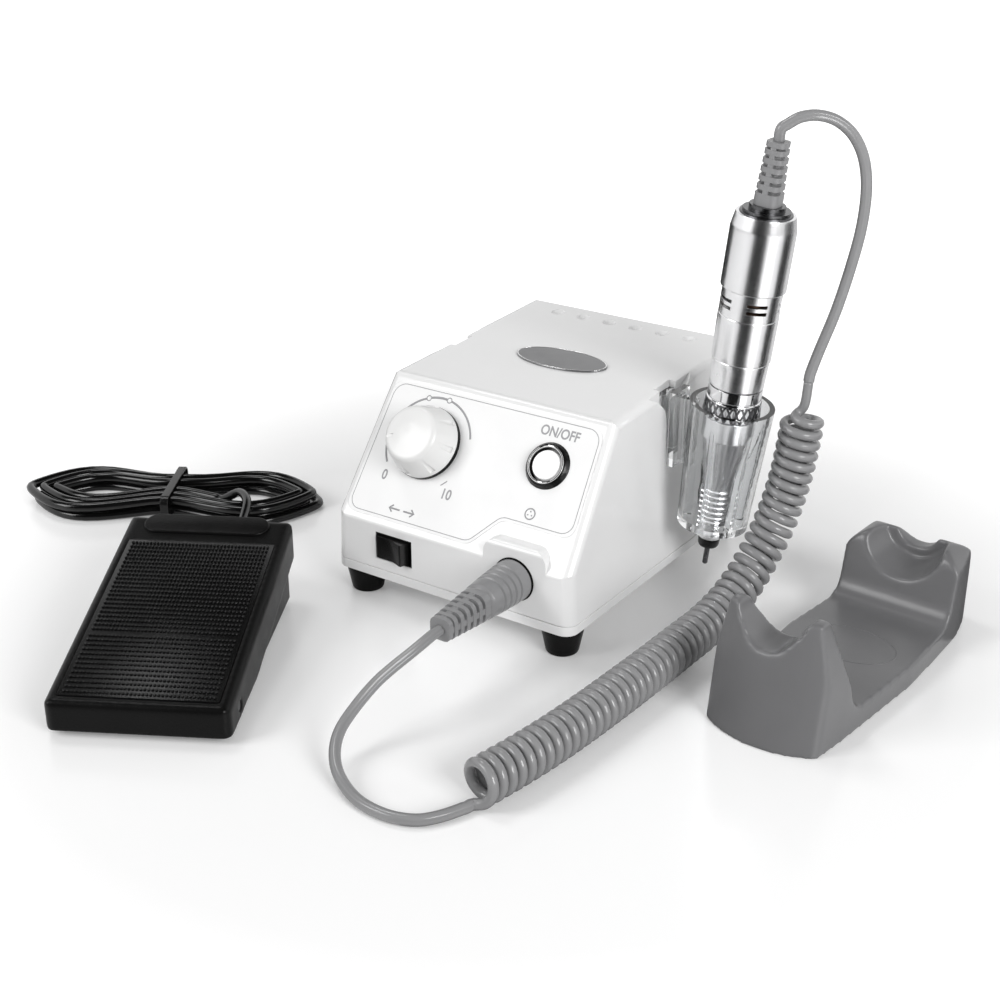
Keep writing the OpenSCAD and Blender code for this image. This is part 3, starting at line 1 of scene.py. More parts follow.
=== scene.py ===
import json
import logging
import math
from contextlib import contextmanager
from dataclasses import dataclass
from enum import Enum
from functools import cache
from typing import Any, Iterator, Mapping, Sequence

import bpy
from mathutils import Matrix, Vector

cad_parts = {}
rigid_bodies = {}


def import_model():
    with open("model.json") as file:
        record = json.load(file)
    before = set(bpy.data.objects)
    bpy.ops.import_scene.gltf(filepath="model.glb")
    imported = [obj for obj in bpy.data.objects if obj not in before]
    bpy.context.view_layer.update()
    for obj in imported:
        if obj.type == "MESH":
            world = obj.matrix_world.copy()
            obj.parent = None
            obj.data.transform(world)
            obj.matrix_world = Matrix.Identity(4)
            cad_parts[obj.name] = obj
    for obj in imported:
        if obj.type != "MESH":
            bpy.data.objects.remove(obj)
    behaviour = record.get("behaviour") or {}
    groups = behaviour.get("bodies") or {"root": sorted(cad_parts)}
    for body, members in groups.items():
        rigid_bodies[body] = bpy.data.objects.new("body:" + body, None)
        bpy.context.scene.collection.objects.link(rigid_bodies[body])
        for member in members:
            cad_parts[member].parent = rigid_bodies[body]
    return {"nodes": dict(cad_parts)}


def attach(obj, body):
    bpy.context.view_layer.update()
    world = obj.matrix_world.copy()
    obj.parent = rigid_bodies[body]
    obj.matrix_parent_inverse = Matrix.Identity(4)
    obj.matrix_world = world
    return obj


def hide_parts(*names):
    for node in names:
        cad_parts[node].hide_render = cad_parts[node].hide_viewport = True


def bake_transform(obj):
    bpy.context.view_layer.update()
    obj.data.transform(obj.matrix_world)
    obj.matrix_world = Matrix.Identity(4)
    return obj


for spare in list(bpy.data.objects):
    bpy.data.objects.remove(spare)
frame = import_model()

log = logging.getLogger("nail_drill")
logging.basicConfig(level=logging.INFO, format="%(name)s: %(message)s")

MM = 0.001
FONT_RATIO = 1.38
FACETS = 72
SHARP = math.radians(32.0)
SMOOTH = math.radians(35.0)
PURE_WHITE = (1.0, 1.0, 1.0, 1.0)
Colour = tuple[float, float, float]
Point = tuple[float, float, float]
Span = tuple[float, float]
Piece = bpy.types.Object
Tree = bpy.types.NodeTree
Socket = Any


def metres(point: Sequence[float]) -> Vector:
    """Returns a point given in millimetres as a vector in metres."""
    return Vector(point) * MM


def grey(value: float, blue: float = 0.0) -> Colour:
    """Returns a neutral tone with a little blue added."""
    return (value, value, value + blue)


def oval(middle: Sequence[float], half: Span, count: int, height: float) -> list[Point]:
    """Returns points round an oval, from its middle, its half widths, their count and their height."""
    turns = [k * math.tau / count for k in range(count)]
    return [(middle[0] + half[0] * math.cos(a), middle[1] + half[1] * math.sin(a), height) for a in turns]


class Place(Enum):
    """Local frames of the set's items, in the row frame."""

    BOX = Matrix.Translation((-0.025, -0.001, 0.0))
    PANEL = Matrix.Translation((-0.025, -0.001, 0.0383)) @ Matrix.Rotation(math.radians(54), 4, "X")
    LID = Matrix.Translation((-0.025, 0.039146, 0.093556)) @ Matrix.Rotation(math.atan(4 / 116.354), 4, "X")
    SOCKET = Matrix.Translation((0.009, -0.0018, 0.0322)) @ Matrix.Rotation(math.radians(90), 4, "X")
    HANDPIECE = Matrix.Translation((0.0541, 0.086, 0.0256)) @ Matrix.Rotation(math.radians(6.4), 4, "Y")
    PEDAL = Matrix.Translation((-0.0695, -0.141, 0.0)) @ Matrix.Rotation(math.radians(29), 4, "Z")
    TREAD = PEDAL @ Matrix.Translation((0.0, 0.0, 0.016)) @ Matrix.Rotation(math.atan(0.18), 4, "X")
    HANK = Matrix.Translation((-0.213, 0.024, 0.0)) @ Matrix.Rotation(math.radians(31), 4, "Z")
    REST = Matrix.Translation((0.1256, -0.0094, 0.0)) @ Matrix.Rotation(math.radians(-4.5), 4, "Z")


@dataclass
class Graph:
    """A drawing board for one node tree."""

    tree: Tree

    def fill(self, node: bpy.types.Node, sockets: Mapping[str | int, Socket]) -> None:
        """Fills a node's inputs.

        Args:
            node: The node.
            sockets: Input name or number to a value, or to an output socket to link.
        """
        for key, value in sockets.items():
            if isinstance(value, bpy.types.NodeSocket):
                self.tree.links.new(value, node.inputs[key])
            else:
                node.inputs[key].default_value = value

    def add(
        self, kind: str, sockets: Mapping[str | int, Socket] | None = None, **settings: Any
    ) -> bpy.types.Node:
        """Adds a node, sets its options and fills its inputs.

        Args:
            kind: The node's type name.
            sockets: What fills its inputs.
            **settings: Attributes of the node.

        Returns:
            The new node.
        """
        node = self.tree.nodes.new(kind)
        for key, value in settings.items():
            setattr(node, key, value)
        self.fill(node, sockets or {})
        return node

    def noise(self, vector: Socket, scale: Socket, detail: float, **more: float) -> Socket:
        """Returns a noise pattern's value."""
        sockets = {"Vector": vector, "Scale": scale, "Detail": detail, **more}
        return self.add("ShaderNodeTexNoise", sockets).outputs["Fac"]

    def remap(self, value: Socket, source: Span, target: tuple[Socket, Socket]) -> Socket:
        """Returns a value that runs over one span as its run over another."""
        keys = ("Value", "From Min", "From Max", "To Min", "To Max")
        return self.add("ShaderNodeMapRange", dict(zip(keys, (value, *source, *target)))).outputs["Result"]

    def calc(self, operation: str, *values: Socket, **settings: Any) -> Socket:
        """Returns the result of a number operation."""
        return self.add("ShaderNodeMath", dict(enumerate(values)), operation=operation, **settings).outputs[0]

    def close(self, kind: str, *parts: Socket) -> None:
        """Makes a mix or a sum of shaders the surface of the material."""
        surface = self.add(kind, dict(enumerate(parts))).outputs[0]
        self.fill(self.tree.nodes["Material Output"], {"Surface": surface})


def new_material(name: str) -> tuple[bpy.types.Material, Graph, bpy.types.Node]:
    """Makes a material, and returns it with its drawing board and its main shader."""
    material = bpy.data.materials.new(name)
    material.use_nodes = True
    return material, Graph(material.node_tree), material.node_tree.nodes["Principled BSDF"]


class Effects:
    """Shader groups that several finishes share."""

    @staticmethod
    def _open(name: str, number: str, *results: str) -> tuple[Graph, Socket, Socket, bpy.types.Node]:
        """Starts a group that takes a vector and a number.

        Args:
            name: The group's name.
            number: Name of the number.
            *results: Names of the numbers that it gives.

        Returns:
            The group's drawing board, its two inputs, and the node that takes its results.
        """
        graph = Graph(bpy.data.node_groups.new(name, "ShaderNodeTree"))
        graph.tree.interface.new_socket(name="Vector", in_out="INPUT", socket_type="NodeSocketVector")
        for key in (number, *results):
            way = "INPUT" if key == number else "OUTPUT"
            graph.tree.interface.new_socket(name=key, in_out=way, socket_type="NodeSocketFloat")
        entry = graph.add("NodeGroupInput").outputs
        return graph, entry["Vector"], entry[number], graph.add("NodeGroupOutput")

    @staticmethod
    @cache
    def grain() -> Tree:
        """Returns the fine spark-eroded grain of a moulded skin."""
        graph, vector, scale, out = Effects._open("moulded_grain", "Scale", "Height", "Tone")
        pits = graph.add("ShaderNodeTexVoronoi", {"Vector": vector, "Scale": scale})
        cloud = graph.noise(vector, scale, 4.0, Roughness=0.6)
        relief = graph.calc("ADD", pits.outputs["Distance"], cloud)
        graph.fill(out, {"Height": relief, "Tone": graph.noise(vector, 38.0, 3.0)})
        return graph.tree

    @staticmethod
    @cache
    def turned() -> Tree:
        """Returns the fine rings that a lathe leaves round an axis along Z."""
        graph, vector, scale, out = Effects._open("turned_rings", "Scale", "Height", "Tone")
        squeeze = (0.04, 0.04, 1.0)
        flat = graph.add("ShaderNodeVectorMath", {0: vector, 1: squeeze}, operation="MULTIPLY").outputs[0]
        rings = graph.noise(flat, scale, 5.0, Roughness=0.7)
        graph.fill(out, {"Height": rings, "Tone": graph.noise(vector, 60.0, 2.0)})
        return graph.tree

    @staticmethod
    @cache
    def handling() -> Tree:
        """Returns a faint smudge mask from handling."""
        graph, vector, amount, out = Effects._open("handling_smudges", "Amount", "Mask")
        cloud = graph.noise(vector, 55.0, 6.0, Roughness=0.65, Distortion=0.4)
        graph.fill(out, {"Mask": graph.remap(cloud, (0.46, 0.72), (0.0, amount))})
        return graph.tree


@dataclass(frozen=True)
class Finish:
    """A surface finish with two close tones, a roughness range and a fine relief."""

    name: str
    base: Colour
    tint: Colour
    rough: Span = (0.3, 0.4)
    grain: float = 2500.0
    bump: float = 0.05
    reach: float = 0.0002
    metallic: float = 0.0
    coat: float = 0.0
    coat_rough: float = 0.08
    smudges: float = 0.35
    place: Place | None = None
    clear: bool = False
    glow: float = 0.0
    shine: float = 0.5

    def build(self) -> bpy.types.Material:
        """Returns the finish as a material, made once."""
        if self.name in bpy.data.materials:
            return bpy.data.materials[self.name]
        material, graph, shader = new_material(self.name)
        vector = graph.add("ShaderNodeTexCoord").outputs["Object"]
        if self.place is not None:
            turn, shift = self.place.value.to_euler(), self.place.value.to_translation()
            vector = graph.add(
                "ShaderNodeMapping",
                {"Vector": vector, "Location": tuple(shift), "Rotation": tuple(turn)},
                vector_type="TEXTURE",
            ).outputs[0]
        relief = graph.add(
            "ShaderNodeGroup", {"Vector": vector, "Scale": self.grain},
            node_tree=Effects.grain() if self.place is None else Effects.turned(),
        ).outputs
        smudge = graph.add(
            "ShaderNodeGroup", {"Vector": vector, "Amount": self.smudges}, node_tree=Effects.handling()
        ).outputs["Mask"]
        colour = graph.add(
            "ShaderNodeMix", {0: relief["Tone"], 6: (*self.base, 1.0), 7: (*self.tint, 1.0)}, data_type="RGBA"
        )
        bump = graph.add(
            "ShaderNodeBump", {"Strength": self.bump, "Distance": self.reach, "Height": relief["Height"]}
        )
        graph.fill(shader, {
            "Base Color": colour.outputs[2],
            "Roughness": graph.remap(smudge, (0.0, 0.5), self.rough),
            "Normal": bump.outputs["Normal"],
            "Metallic": self.metallic,
            "Specular IOR Level": self.shine,
            "Coat Weight": self.coat,
            "Coat Roughness": self.coat_rough,
        })
        if self.clear:
            graph.fill(shader, {"Transmission Weight": 1.0, "IOR": 1.45})
        if self.glow:
            graph.fill(shader, {"Emission Color": PURE_WHITE, "Emission Strength": self.glow})
        return material


class Finishes(Enum):
    """Every finish on the set."""

    WHITE = Finish("gloss_white", grey(0.83), grey(0.8), (0.2, 0.3), 1800, 0.03, coat=0.25)
    FILM = Finish("satin_film", grey(0.84), grey(0.81), (0.35, 0.45), 3200, 0.03)
    KNOB = Finish("milky_knob", grey(0.78, -0.005), grey(0.75, -0.005), (0.3, 0.4), 2600, 0.03, coat=0.15)
    INK = Finish("grey_ink", grey(0.3, 0.01), grey(0.35, 0.01), (0.5, 0.6), 3000, 0.02)
    BLACK = Finish("satin_black", grey(0.004), grey(0.008), (0.22, 0.32), 2200, 0.1, shine=0.4)
    PEDAL = Finish("pedal_black", grey(0.003), grey(0.006), (0.3, 0.4), 1500, 0.25, shine=0.13)
    TREAD = Finish("tread_rubber", grey(0.003), grey(0.006), (0.24, 0.32), 1800, 0.2, shine=0.24)
    RUBBER = Finish("soft_rubber", grey(0.004), grey(0.008), (0.3, 0.4), 1600, 0.15, shine=0.1)
    CORD = Finish("grey_cord", grey(0.24, 0.004), grey(0.28, 0.004), (0.16, 0.24), 2600, 0.04)
    PLUG = Finish("grey_plug", grey(0.23, 0.005), grey(0.26, 0.005), (0.28, 0.38), 2400, 0.1)
    MAINS = Finish("gloss_cord", grey(0.003), grey(0.005), (0.16, 0.22), 2600, 0.04)
    GREY = Finish("grey_moulding", grey(0.142, 0.004), grey(0.162, 0.004), (0.3, 0.4), 2400, 0.08)
    BADGE = Finish("badge_metal", grey(0.2, 0.005), grey(0.25, 0.005), (0.3, 0.4), 2400, 0.05, metallic=0.8)
    STEEL = Finish(
        "turned_steel", grey(0.88, 0.01), grey(0.93, 0.01), (0.24, 0.3), 2600, 0.05, metallic=1.0,
        place=Place.HANDPIECE,
    )
    BRIGHT = Finish(
        "bright_steel", grey(0.82, 0.01), grey(0.86, 0.01), (0.1, 0.16), 2600, 0.03, metallic=1.0,
        place=Place.HANDPIECE,
    )
    DARK = Finish("dark_steel", grey(0.12, 0.005), grey(0.15, 0.005), (0.25, 0.32), 2600, 0.05, metallic=1.0)
    CHROME = Finish("bright_chrome", grey(0.8), grey(0.84), (0.05, 0.1), 2200, 0.02, metallic=1.0)
    CLEAR = Finish(
        "clear_acrylic", (0.95, 0.96, 0.965), (0.97, 0.975, 0.98), (0.02, 0.05), 900, 0.02, clear=True
    )
    LAMP = Finish("lit_cap", grey(0.86), grey(0.84), (0.25, 0.35), 2600, 0.02, glow=0.25)
    # Copper darkened to near black, so that the rotor reads dark through the vent slots: painted shade inside
    # the motor.
    LACQUER = Finish(
        "copper_painted_shade", (0.05, 0.028, 0.018), (0.07, 0.04, 0.025), (0.35, 0.5), 1800, 0.1, metallic=0.7
    )
    COPPER = Finish(
        "wound_copper", (0.6, 0.28, 0.13), (0.66, 0.33, 0.17), (0.25, 0.4), 1800, 0.1, metallic=1.0
    )
    IRON = Finish("stacked_iron", grey(0.1, 0.005), grey(0.14, 0.005), (0.4, 0.55), 1500, 0.2, metallic=0.9)
    BOARD = Finish("board_green", (0.02, 0.12, 0.05), (0.03, 0.15, 0.06), (0.3, 0.4), 1200, 0.08)

    def on(self, piece: Piece) -> None:
        """Puts the finish on a piece."""
        piece.data.materials.clear()
        piece.data.materials.append(self.value.build())


class Bench:
    """The modelling bench, where pieces are made by hand tools one at a time."""

    @staticmethod
    def clear() -> None:
        """Leaves edit mode and deselects everything."""
        if bpy.context.object is not None and bpy.context.object.mode != "OBJECT":
            bpy.ops.object.mode_set(mode="OBJECT")
        bpy.ops.object.select_all(action="DESELECT")

    @staticmethod
    def pick(piece: Piece) -> None:
        """Makes one piece the only selected and active one."""
        Bench.clear()
        bpy.context.view_layer.objects.active = piece
        piece.select_set(True)

    @staticmethod
    def bring(name: str, data: bpy.types.ID) -> Piece:
        """Puts data in the scene as a new object and returns it."""
        piece = bpy.data.objects.new(name, data)
        bpy.context.scene.collection.objects.link(piece)
        return piece

    @staticmethod
    @contextmanager
    def editing() -> Iterator[None]:
        """Opens the active piece with all of it selected, and closes it again."""
        bpy.ops.object.mode_set(mode="EDIT")
        bpy.ops.mesh.select_all(action="SELECT")
        yield
        bpy.ops.object.mode_set(mode="OBJECT")

    @staticmethod
    def settle(piece: Piece, place: Matrix, name: str, finish: Finishes) -> Piece:
        """Moves a piece from its local frame to its place, in its mesh, and finishes it.

        Args:
            piece: The finished mesh object.
            place: The local frame in the row frame.
            name: The piece's name.
            finish: Its finish.

        Returns:
            The piece, at the origin.
        """
        Bench.pick(piece)
        piece.matrix_world = place @ piece.matrix_world
        bpy.context.view_layer.update()
        bpy.ops.object.transform_apply(location=True, rotation=True, scale=True)
        piece.name = piece.data.name = name
        finish.on(piece)
        return piece

    @staticmethod
    def smooth(piece: Piece) -> None:
        """Shades a piece smooth up to an angle."""
        Bench.pick(piece)
        bpy.ops.object.shade_smooth_by_angle(angle=SMOOTH)

    @staticmethod
    def turned(profile: Sequence[Span], place: Matrix, name: str, finish: Finishes) -> Piece:
        """Turns a profile round Z and puts the piece in its place with its finish.

        Args:
            profile: Corners of the profile, in order: radius and height in millimetres.
            place: The local frame, whose Z is the axis.
            name: The piece's name.
            finish: Its finish.

        Returns:
            The piece, at the origin.
        """
        Bench.clear()
        bpy.ops.mesh.primitive_plane_add(size=MM)
        with Bench.editing():
            bpy.ops.mesh.merge(type="CENTER")
            at = Vector((0.0, 0.0, 0.0))
            for index, (radius, height) in enumerate(profile):
                to = metres((radius, 0.0, height))
                if index == 0:
                    bpy.ops.transform.translate(value=to - at)
                else:
                    bpy.ops.mesh.extrude_region_move(TRANSFORM_OT_translate={"value": to - at})
                at = to
            bpy.ops.mesh.select_all(action="SELECT")
            bpy.ops.mesh.spin(steps=FACETS, angle=math.tau, center=(0, 0, 0), axis=(0, 0, 1))
            bpy.ops.mesh.select_all(action="SELECT")
            bpy.ops.mesh.remove_doubles(threshold=2e-6)
            bpy.ops.mesh.normals_make_consistent(inside=False)
        piece = Bench.settle(bpy.context.object, place, name, finish)
        Bench.smooth(piece)
        return piece

    @staticmethod
    def block(size: Sequence[float], bevel: float, middle: Point = (0.0, 0.0, 0.0)) -> Piece:
        """Makes a block with eased edges, in millimetres.

        Args:
            size: The block's three widths.
            bevel: Width of its eased edges.
            middle: Where its middle lies.

        Returns:
            The block.
        """
        Bench.clear()
        bpy.ops.mesh.primitive_cube_add(size=1.0)
        piece = bpy.context.object
        piece.data.transform(Matrix.Translation(metres(middle)) @ Matrix.Diagonal((*metres(size), 1.0)))
        with Bench.editing():
            bpy.ops.mesh.bevel(offset=bevel * MM, segments=2, affect="EDGES")
        return piece

    @staticmethod
    def apply(piece: Piece, kind: str, **settings: Any) -> None:
        """Adds a modifier to a piece and applies it.

        Args:
            piece: The piece.
            kind: The modifier's type.
            **settings: The modifier's attributes.
        """
        Bench.pick(piece)
        modifier = piece.modifiers.new(kind.lower(), kind)
        for key, value in settings.items():
            setattr(modifier, key, value)
        bpy.ops.object.modifier_apply(modifier=modifier.name)

    @staticmethod
    def line(points: Sequence[Point], width: float, closed: bool = False) -> Piece:
        """Draws a thin printed line through points, in millimetres.

        Args:
            points: The line's points in a local frame.
            width: The line's width.
            closed: Whether the line runs back to its start.

        Returns:
            The line as a mesh about the origin.
        """
        curve = bpy.data.curves.new("line", "CURVE")
        curve.dimensions = "3D"
        curve.bevel_depth = width * MM / 2
        curve.bevel_resolution = 1
        spline = curve.splines.new("POLY")
        spline.points.add(len(points) - 1)
        for dot, point in zip(spline.points, points):
            dot.co = (*metres(point), 1.0)
        spline.use_cyclic_u = closed
        Bench.pick(Bench.bring("line", curve))
        bpy.ops.object.convert(target="MESH")
        piece = bpy.context.object
        lift = Matrix.Translation((0.0, 0.0, points[0][2] * MM))
        flatten = Matrix.Diagonal((1.0, 1.0, 0.25, 1.0))
        piece.data.transform(lift @ flatten @ lift.inverted())
        return piece

    @staticmethod
    def words(text: str, size: float, centre: Span, height: float) -> Piece:
        """Prints plain characters in a local XY plane.

        Args:
            text: The characters.
            size: Their height in millimetres.
            centre: The middle of the print in millimetres.
            height: How far the print stands off the plane, in millimetres.

        Returns:
            The print as a mesh.
        """
        Bench.clear()
        bpy.ops.object.text_add()
        piece = bpy.context.object
        piece.data.body = text
        piece.data.size = size * MM * FONT_RATIO
        piece.data.align_x = piece.data.align_y = "CENTER"
        piece.data.extrude, piece.data.offset = 0.03 * MM, 0.12 * MM
        bpy.ops.object.convert(target="MESH")
        piece = bpy.context.object
        narrow = Matrix.Diagonal((0.86, 1.0, 1.0, 1.0))
        piece.data.transform(Matrix.Translation(metres((*centre, height))) @ narrow)
        return piece

    @staticmethod
    def join(pieces: Sequence[Piece]) -> Piece:
        """Joins pieces into the first one and returns it."""
        Bench.clear()
        for piece in pieces:
            piece.select_set(True)
        bpy.context.view_layer.objects.active = pieces[0]
        bpy.ops.object.join()
        return bpy.context.object

    @staticmethod
    def copy_of(node: str, name: str) -> Piece:
        """Copies a CAD node into a piece of its own, with its corners joined.

        Args:
            node: The CAD node.
            name: The copy's name.

        Returns:
            The copy.
        """
        piece = Bench.bring(name, frame["nodes"][node].data.copy())
        Bench.pick(piece)
        with Bench.editing():
            bpy.ops.mesh.remove_doubles(threshold=1e-5)
        return piece

    @staticmethod
    def smooth_copy(node: str, voxel: float, rounds: int) -> Piece:
        """Copies a CAD node and rounds its edges as a moulding's.

        Args:
            node: The CAD node.
            voxel: The grid of the remesh, in millimetres.
            rounds: How many smoothing passes follow.

        Returns:
            The rounded copy.
        """
        piece = Bench.copy_of(node, node + "_moulded")
        Bench.apply(piece, "REMESH", mode="VOXEL", voxel_size=voxel * MM)
        Bench.apply(piece, "SHRINKWRAP", target=frame["nodes"][node], wrap_method="NEAREST_SURFACEPOINT")
        Bench.apply(piece, "SMOOTH", factor=0.5, iterations=rounds)
        Bench.pick(piece)
        bpy.ops.object.shade_smooth()
        return piece


def dress(finish: Finishes, bevel: float, *nodes: str) -> None:
    """Gives CAD nodes their finish and eased edges.

    Args:
        finish: The finish.
        bevel: Width of the eased edges in millimetres, or 0 for none.
        *nodes: The CAD nodes.
    """
    for node in nodes:
        piece = frame["nodes"][node]
        finish.on(piece)
        for face in piece.data.polygons:
            face.use_smooth = True
        piece.modifiers.new("weld", "WELD").merge_threshold = 0.02 * MM
        if bevel:
            edges = piece.modifiers.new("ease", "BEVEL")
            edges.width = bevel * MM
            edges.segments = 2
            edges.limit_method = "ANGLE"
            edges.angle_limit = SHARP
            edges.harden_normals = False
            piece.modifiers.new("weigh", "WEIGHTED_NORMAL").keep_sharp = True
        else:
            piece.modifiers.new("split", "EDGE_SPLIT").split_angle = SHARP


def curve_through(stops: Sequence[Sequence[float]], steps: int) -> list[Vector]:
    """Runs a smooth curve through points.

    Args:
        stops: The points, in order.
        steps: Steps to a span.

    Returns:
        Points along the curve.
    """
    points = [Vector(stop) for stop in stops]
    last = len(points) - 1
    out: list[Vector] = []
    for i in range(last):
        a, b, c, d = points[max(i - 1, 0)], points[i], points[i + 1], points[min(i + 2, last)]
        for j in range(steps):
            t = j / steps
            out.append(
                b
                + (c - a) / 2 * t
                + (a - 2.5 * b + 2 * c - d / 2) * t * t
                + (1.5 * b - a / 2 - 1.5 * c + d / 2) * t * t * t
            )
    return out + [points[last]]


def ease(t: float) -> float:
    """Returns t eased at both ends of 0 to 1."""
    c = min(max(t, 0.0), 1.0)
    return c * c * (3 - 2 * c)


def length_of(path: Sequence[Vector]) -> float:
    """Returns the length of a path."""
    return sum((b - a).length for a, b in zip(path, path[1:]))


@dataclass
class Sleeve:
    """A cord's tube, swept along its path with a section that may have four grooves."""

    name: str
    path: list[Vector]
    diameters: Sequence[float]
    sides: int = 14
    groove: Sequence[float] = ()
    grooves: int = 4
    narrowing: int = 12

    def build(self) -> Piece:
        """Returns the tube as a closed mesh."""
        path, count, sides = self.path, len(self.path), self.sides
        ways = [(path[min(i + 1, count - 1)] - path[max(i - 1, 0)]).normalized() for i in range(count)]
        side = ways[0].orthogonal().normalized()
        points: list[Vector] = []
        for i in range(count):
            side = (side - side.dot(ways[i]) * ways[i]).normalized()
            up = ways[i].cross(side)
            for k in range(sides):
                a = math.tau * k / sides
                dip = max(0.0, math.cos(self.grooves * a)) ** self.narrowing
                r = self.diameters[i] / 2 - (self.groove[i] if self.groove else 0.0) * dip
                points.append(path[i] + r * (math.cos(a) * side + math.sin(a) * up))
        faces = [
            (i + k, i + (k + 1) % sides, i + sides + (k + 1) % sides, i + sides + k)
            for i in range(0, (count - 1) * sides, sides)
            for k in range(sides)
        ]
        faces.append(tuple(reversed(range(sides))))
        faces.append(tuple(range((count - 1) * sides, count * sides)))
        mesh = bpy.data.meshes.new(self.name)
        mesh.from_pydata(points, [], faces)
        mesh.validate()
        piece = Bench.bring(self.name, mesh)
        for face in mesh.polygons:
            face.use_smooth = len(face.vertices) == 4
        return piece


@dataclass
class HandpieceCord:
    """The grey cord from the plug, through its curls, to the handpiece."""

    lead_d: float = 4.6
    wire_d: float = 4.05
    groove: float = 0.5
    sides: int = 24
    mean_r: float = 7.35
    curls: int = 53
    coarse: int = 8
    fine: int = 3
    entry: int = 6
    close: int = 9
    fade: int = 30
    rush: Span = (1.2, 3.2)  # run at the first and last curl
    opening: Point = (0.13, 0.66, 60)  # how much wider, where, over how many steps
    nose: Point = (79.1, 87.0, 25.6)
    lean: float = 6.4
    boot_at: float = 181.5
    lead: Sequence[Point] = (
        (34, -52, 32), (34, -57, 32), (33.5, -62.5, 30.9), (32, -69, 28.7), (29.5, -76.5, 25.5),
        (27.2, -84.5, 21.7), (25.8, -95.5, 16), (26.4, -105.5, 11), (31, -114, 7), (39.2, -121, 4.2),
        (52, -126.8, 2.8), (65.5, -128, 2.6), (76, -124.5, 2.6), (82, -117.5, 2.6), (86.2, -108.5, 2.6),
    )
    axis: Sequence[Point] = (
        (86.2, -108.5, 9.8), (88.4, -97, 9.8), (91.2, -82, 9.8), (94, -62, 9.8), (96.4, -35, 9.8),
        (98.4, 0, 9.8), (99.4, 26, 9.8), (100.6, 45, 10.5), (102, 62, 14), (104, 76, 22), (106.6, 86, 34),
        (109.5, 92, 48), (112, 95.5, 64), (113.5, 97.5, 80), (114.5, 98.5, 95), (115, 99, 106),
    )
    tail: Sequence[Point] = (
        (115.02, 99.02, 106.1), (115.2, 99.15, 108.4), (115.8, 99.6, 111.6), (117.8, 101.2, 120),
        (122.2, 104.3, 137), (125.8, 107, 156), (128, 108.5, 172), (128.4, 108.6, 187), (126.6, 107.2, 199),
        (122.8, 104, 208), (117.4, 99.8, 213.6), (111.5, 95.4, 215.8), (106, 91.5, 215.2), (102, 88.6, 212.6),
    )

    def _curl_path(self) -> list[Vector]:
        """Returns the wire's centre line through the curls, in millimetres."""
        line = curve_through(self.axis, 8)
        runs = [0.0]
        for a, b in zip(line, line[1:]):
            runs.append(runs[-1] + (b - a).length)
        total = runs[-1]

        def at(run: float) -> Vector:
            """Returns the coil's axis after a run along it."""
            run = min(max(run, 0.0), total)
            i = next(k for k in range(1, len(runs)) if runs[k] >= run or k == len(runs) - 1)
            t = (run - runs[i - 1]) / (runs[i] - runs[i - 1])
            return line[i - 1].lerp(line[i], t)

        steps, fine = self.coarse * self.curls, self.fine
        share = [ease((i - 1) / self.entry) * ease((steps - 2 - i) / self.entry) for i in range(steps)]
        wider, centre, spread = self.opening
        open_by = [1 + wider * math.exp(-(((i - centre * steps) / spread) ** 2)) for i in range(steps)]
        weight = [s * o for s, o in zip(share, open_by)]
        rush = [(1 - s) * self.rush[0 if i < steps / 2 else 1] for i, s in enumerate(share)]
        pitch = (total - sum(rush)) / sum(weight)
        turn, run = [0.0], [0.0]
        for i in range(steps):
            turn.append(turn[-1] + 360 / self.coarse * share[i])
            run.append(run[-1] + weight[i] * pitch + rush[i])
        path: list[Vector] = []
        for n in range(steps * fine + 1):
            i = min(n // fine, steps - 1)
            t = (n - i * fine) / fine
            a = run[i] + (run[i + 1] - run[i]) * t
            q = math.radians(turn[i] + (turn[i + 1] - turn[i]) * t - 90)
            way = (at(a + 3) - at(a - 3)).normalized()
            right = Vector((1, 0, 0))
            right = (right - right.dot(way) * way).normalized()
            up = right.cross(way)
            radius = self.mean_r * ease((steps - i - t - 2) / self.close)
            path.append(at(a) + radius * (math.cos(q) * right + math.sin(q) * up))
        return path

    def build(self) -> None:
        """Makes the cord in two lengths, one to the holder and one to the handpiece."""
        lead = curve_through(self.lead, 6)
        curls = self._curl_path()
        plain = len(lead) - 1
        worn = [ease(i / self.fade) for i in range(len(curls))]
        path = [Place.BOX.value @ (p * MM) for p in lead[:-1] + curls]
        thick = [self.lead_d] * plain + [self.lead_d + (self.wire_d - self.lead_d) * t for t in worn]
        dips = [self.groove * MM] * plain + [self.groove * MM * (1 - t) for t in worn]
        lower = Sleeve("curly_cord", path, [d * MM for d in thick], self.sides, dips).build()
        Finishes.CORD.on(lower)
        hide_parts("handpiece_lead", "handpiece_coil")
        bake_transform(lower)
        lean = math.radians(self.lean)
        way = Vector((math.sin(lean), 0.0, math.cos(lean)))
        boot = Vector(self.nose) + self.boot_at * way
        tail = curve_through([*self.tail, boot + self.lead_d * way, boot], 6)
        upper = [Place.BOX.value @ (p * MM) for p in tail]
        thick, dips = [self.lead_d * MM] * len(upper), [self.groove * MM] * len(upper)
        loop = Sleeve("cord_tail", upper, thick, self.sides, dips).build()
        Finishes.CORD.on(loop)
        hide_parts("handpiece_tail")
        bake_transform(loop)
        log.info("handpiece cord: curls %d, %.2f m", self.curls, length_of(path) + length_of(upper))


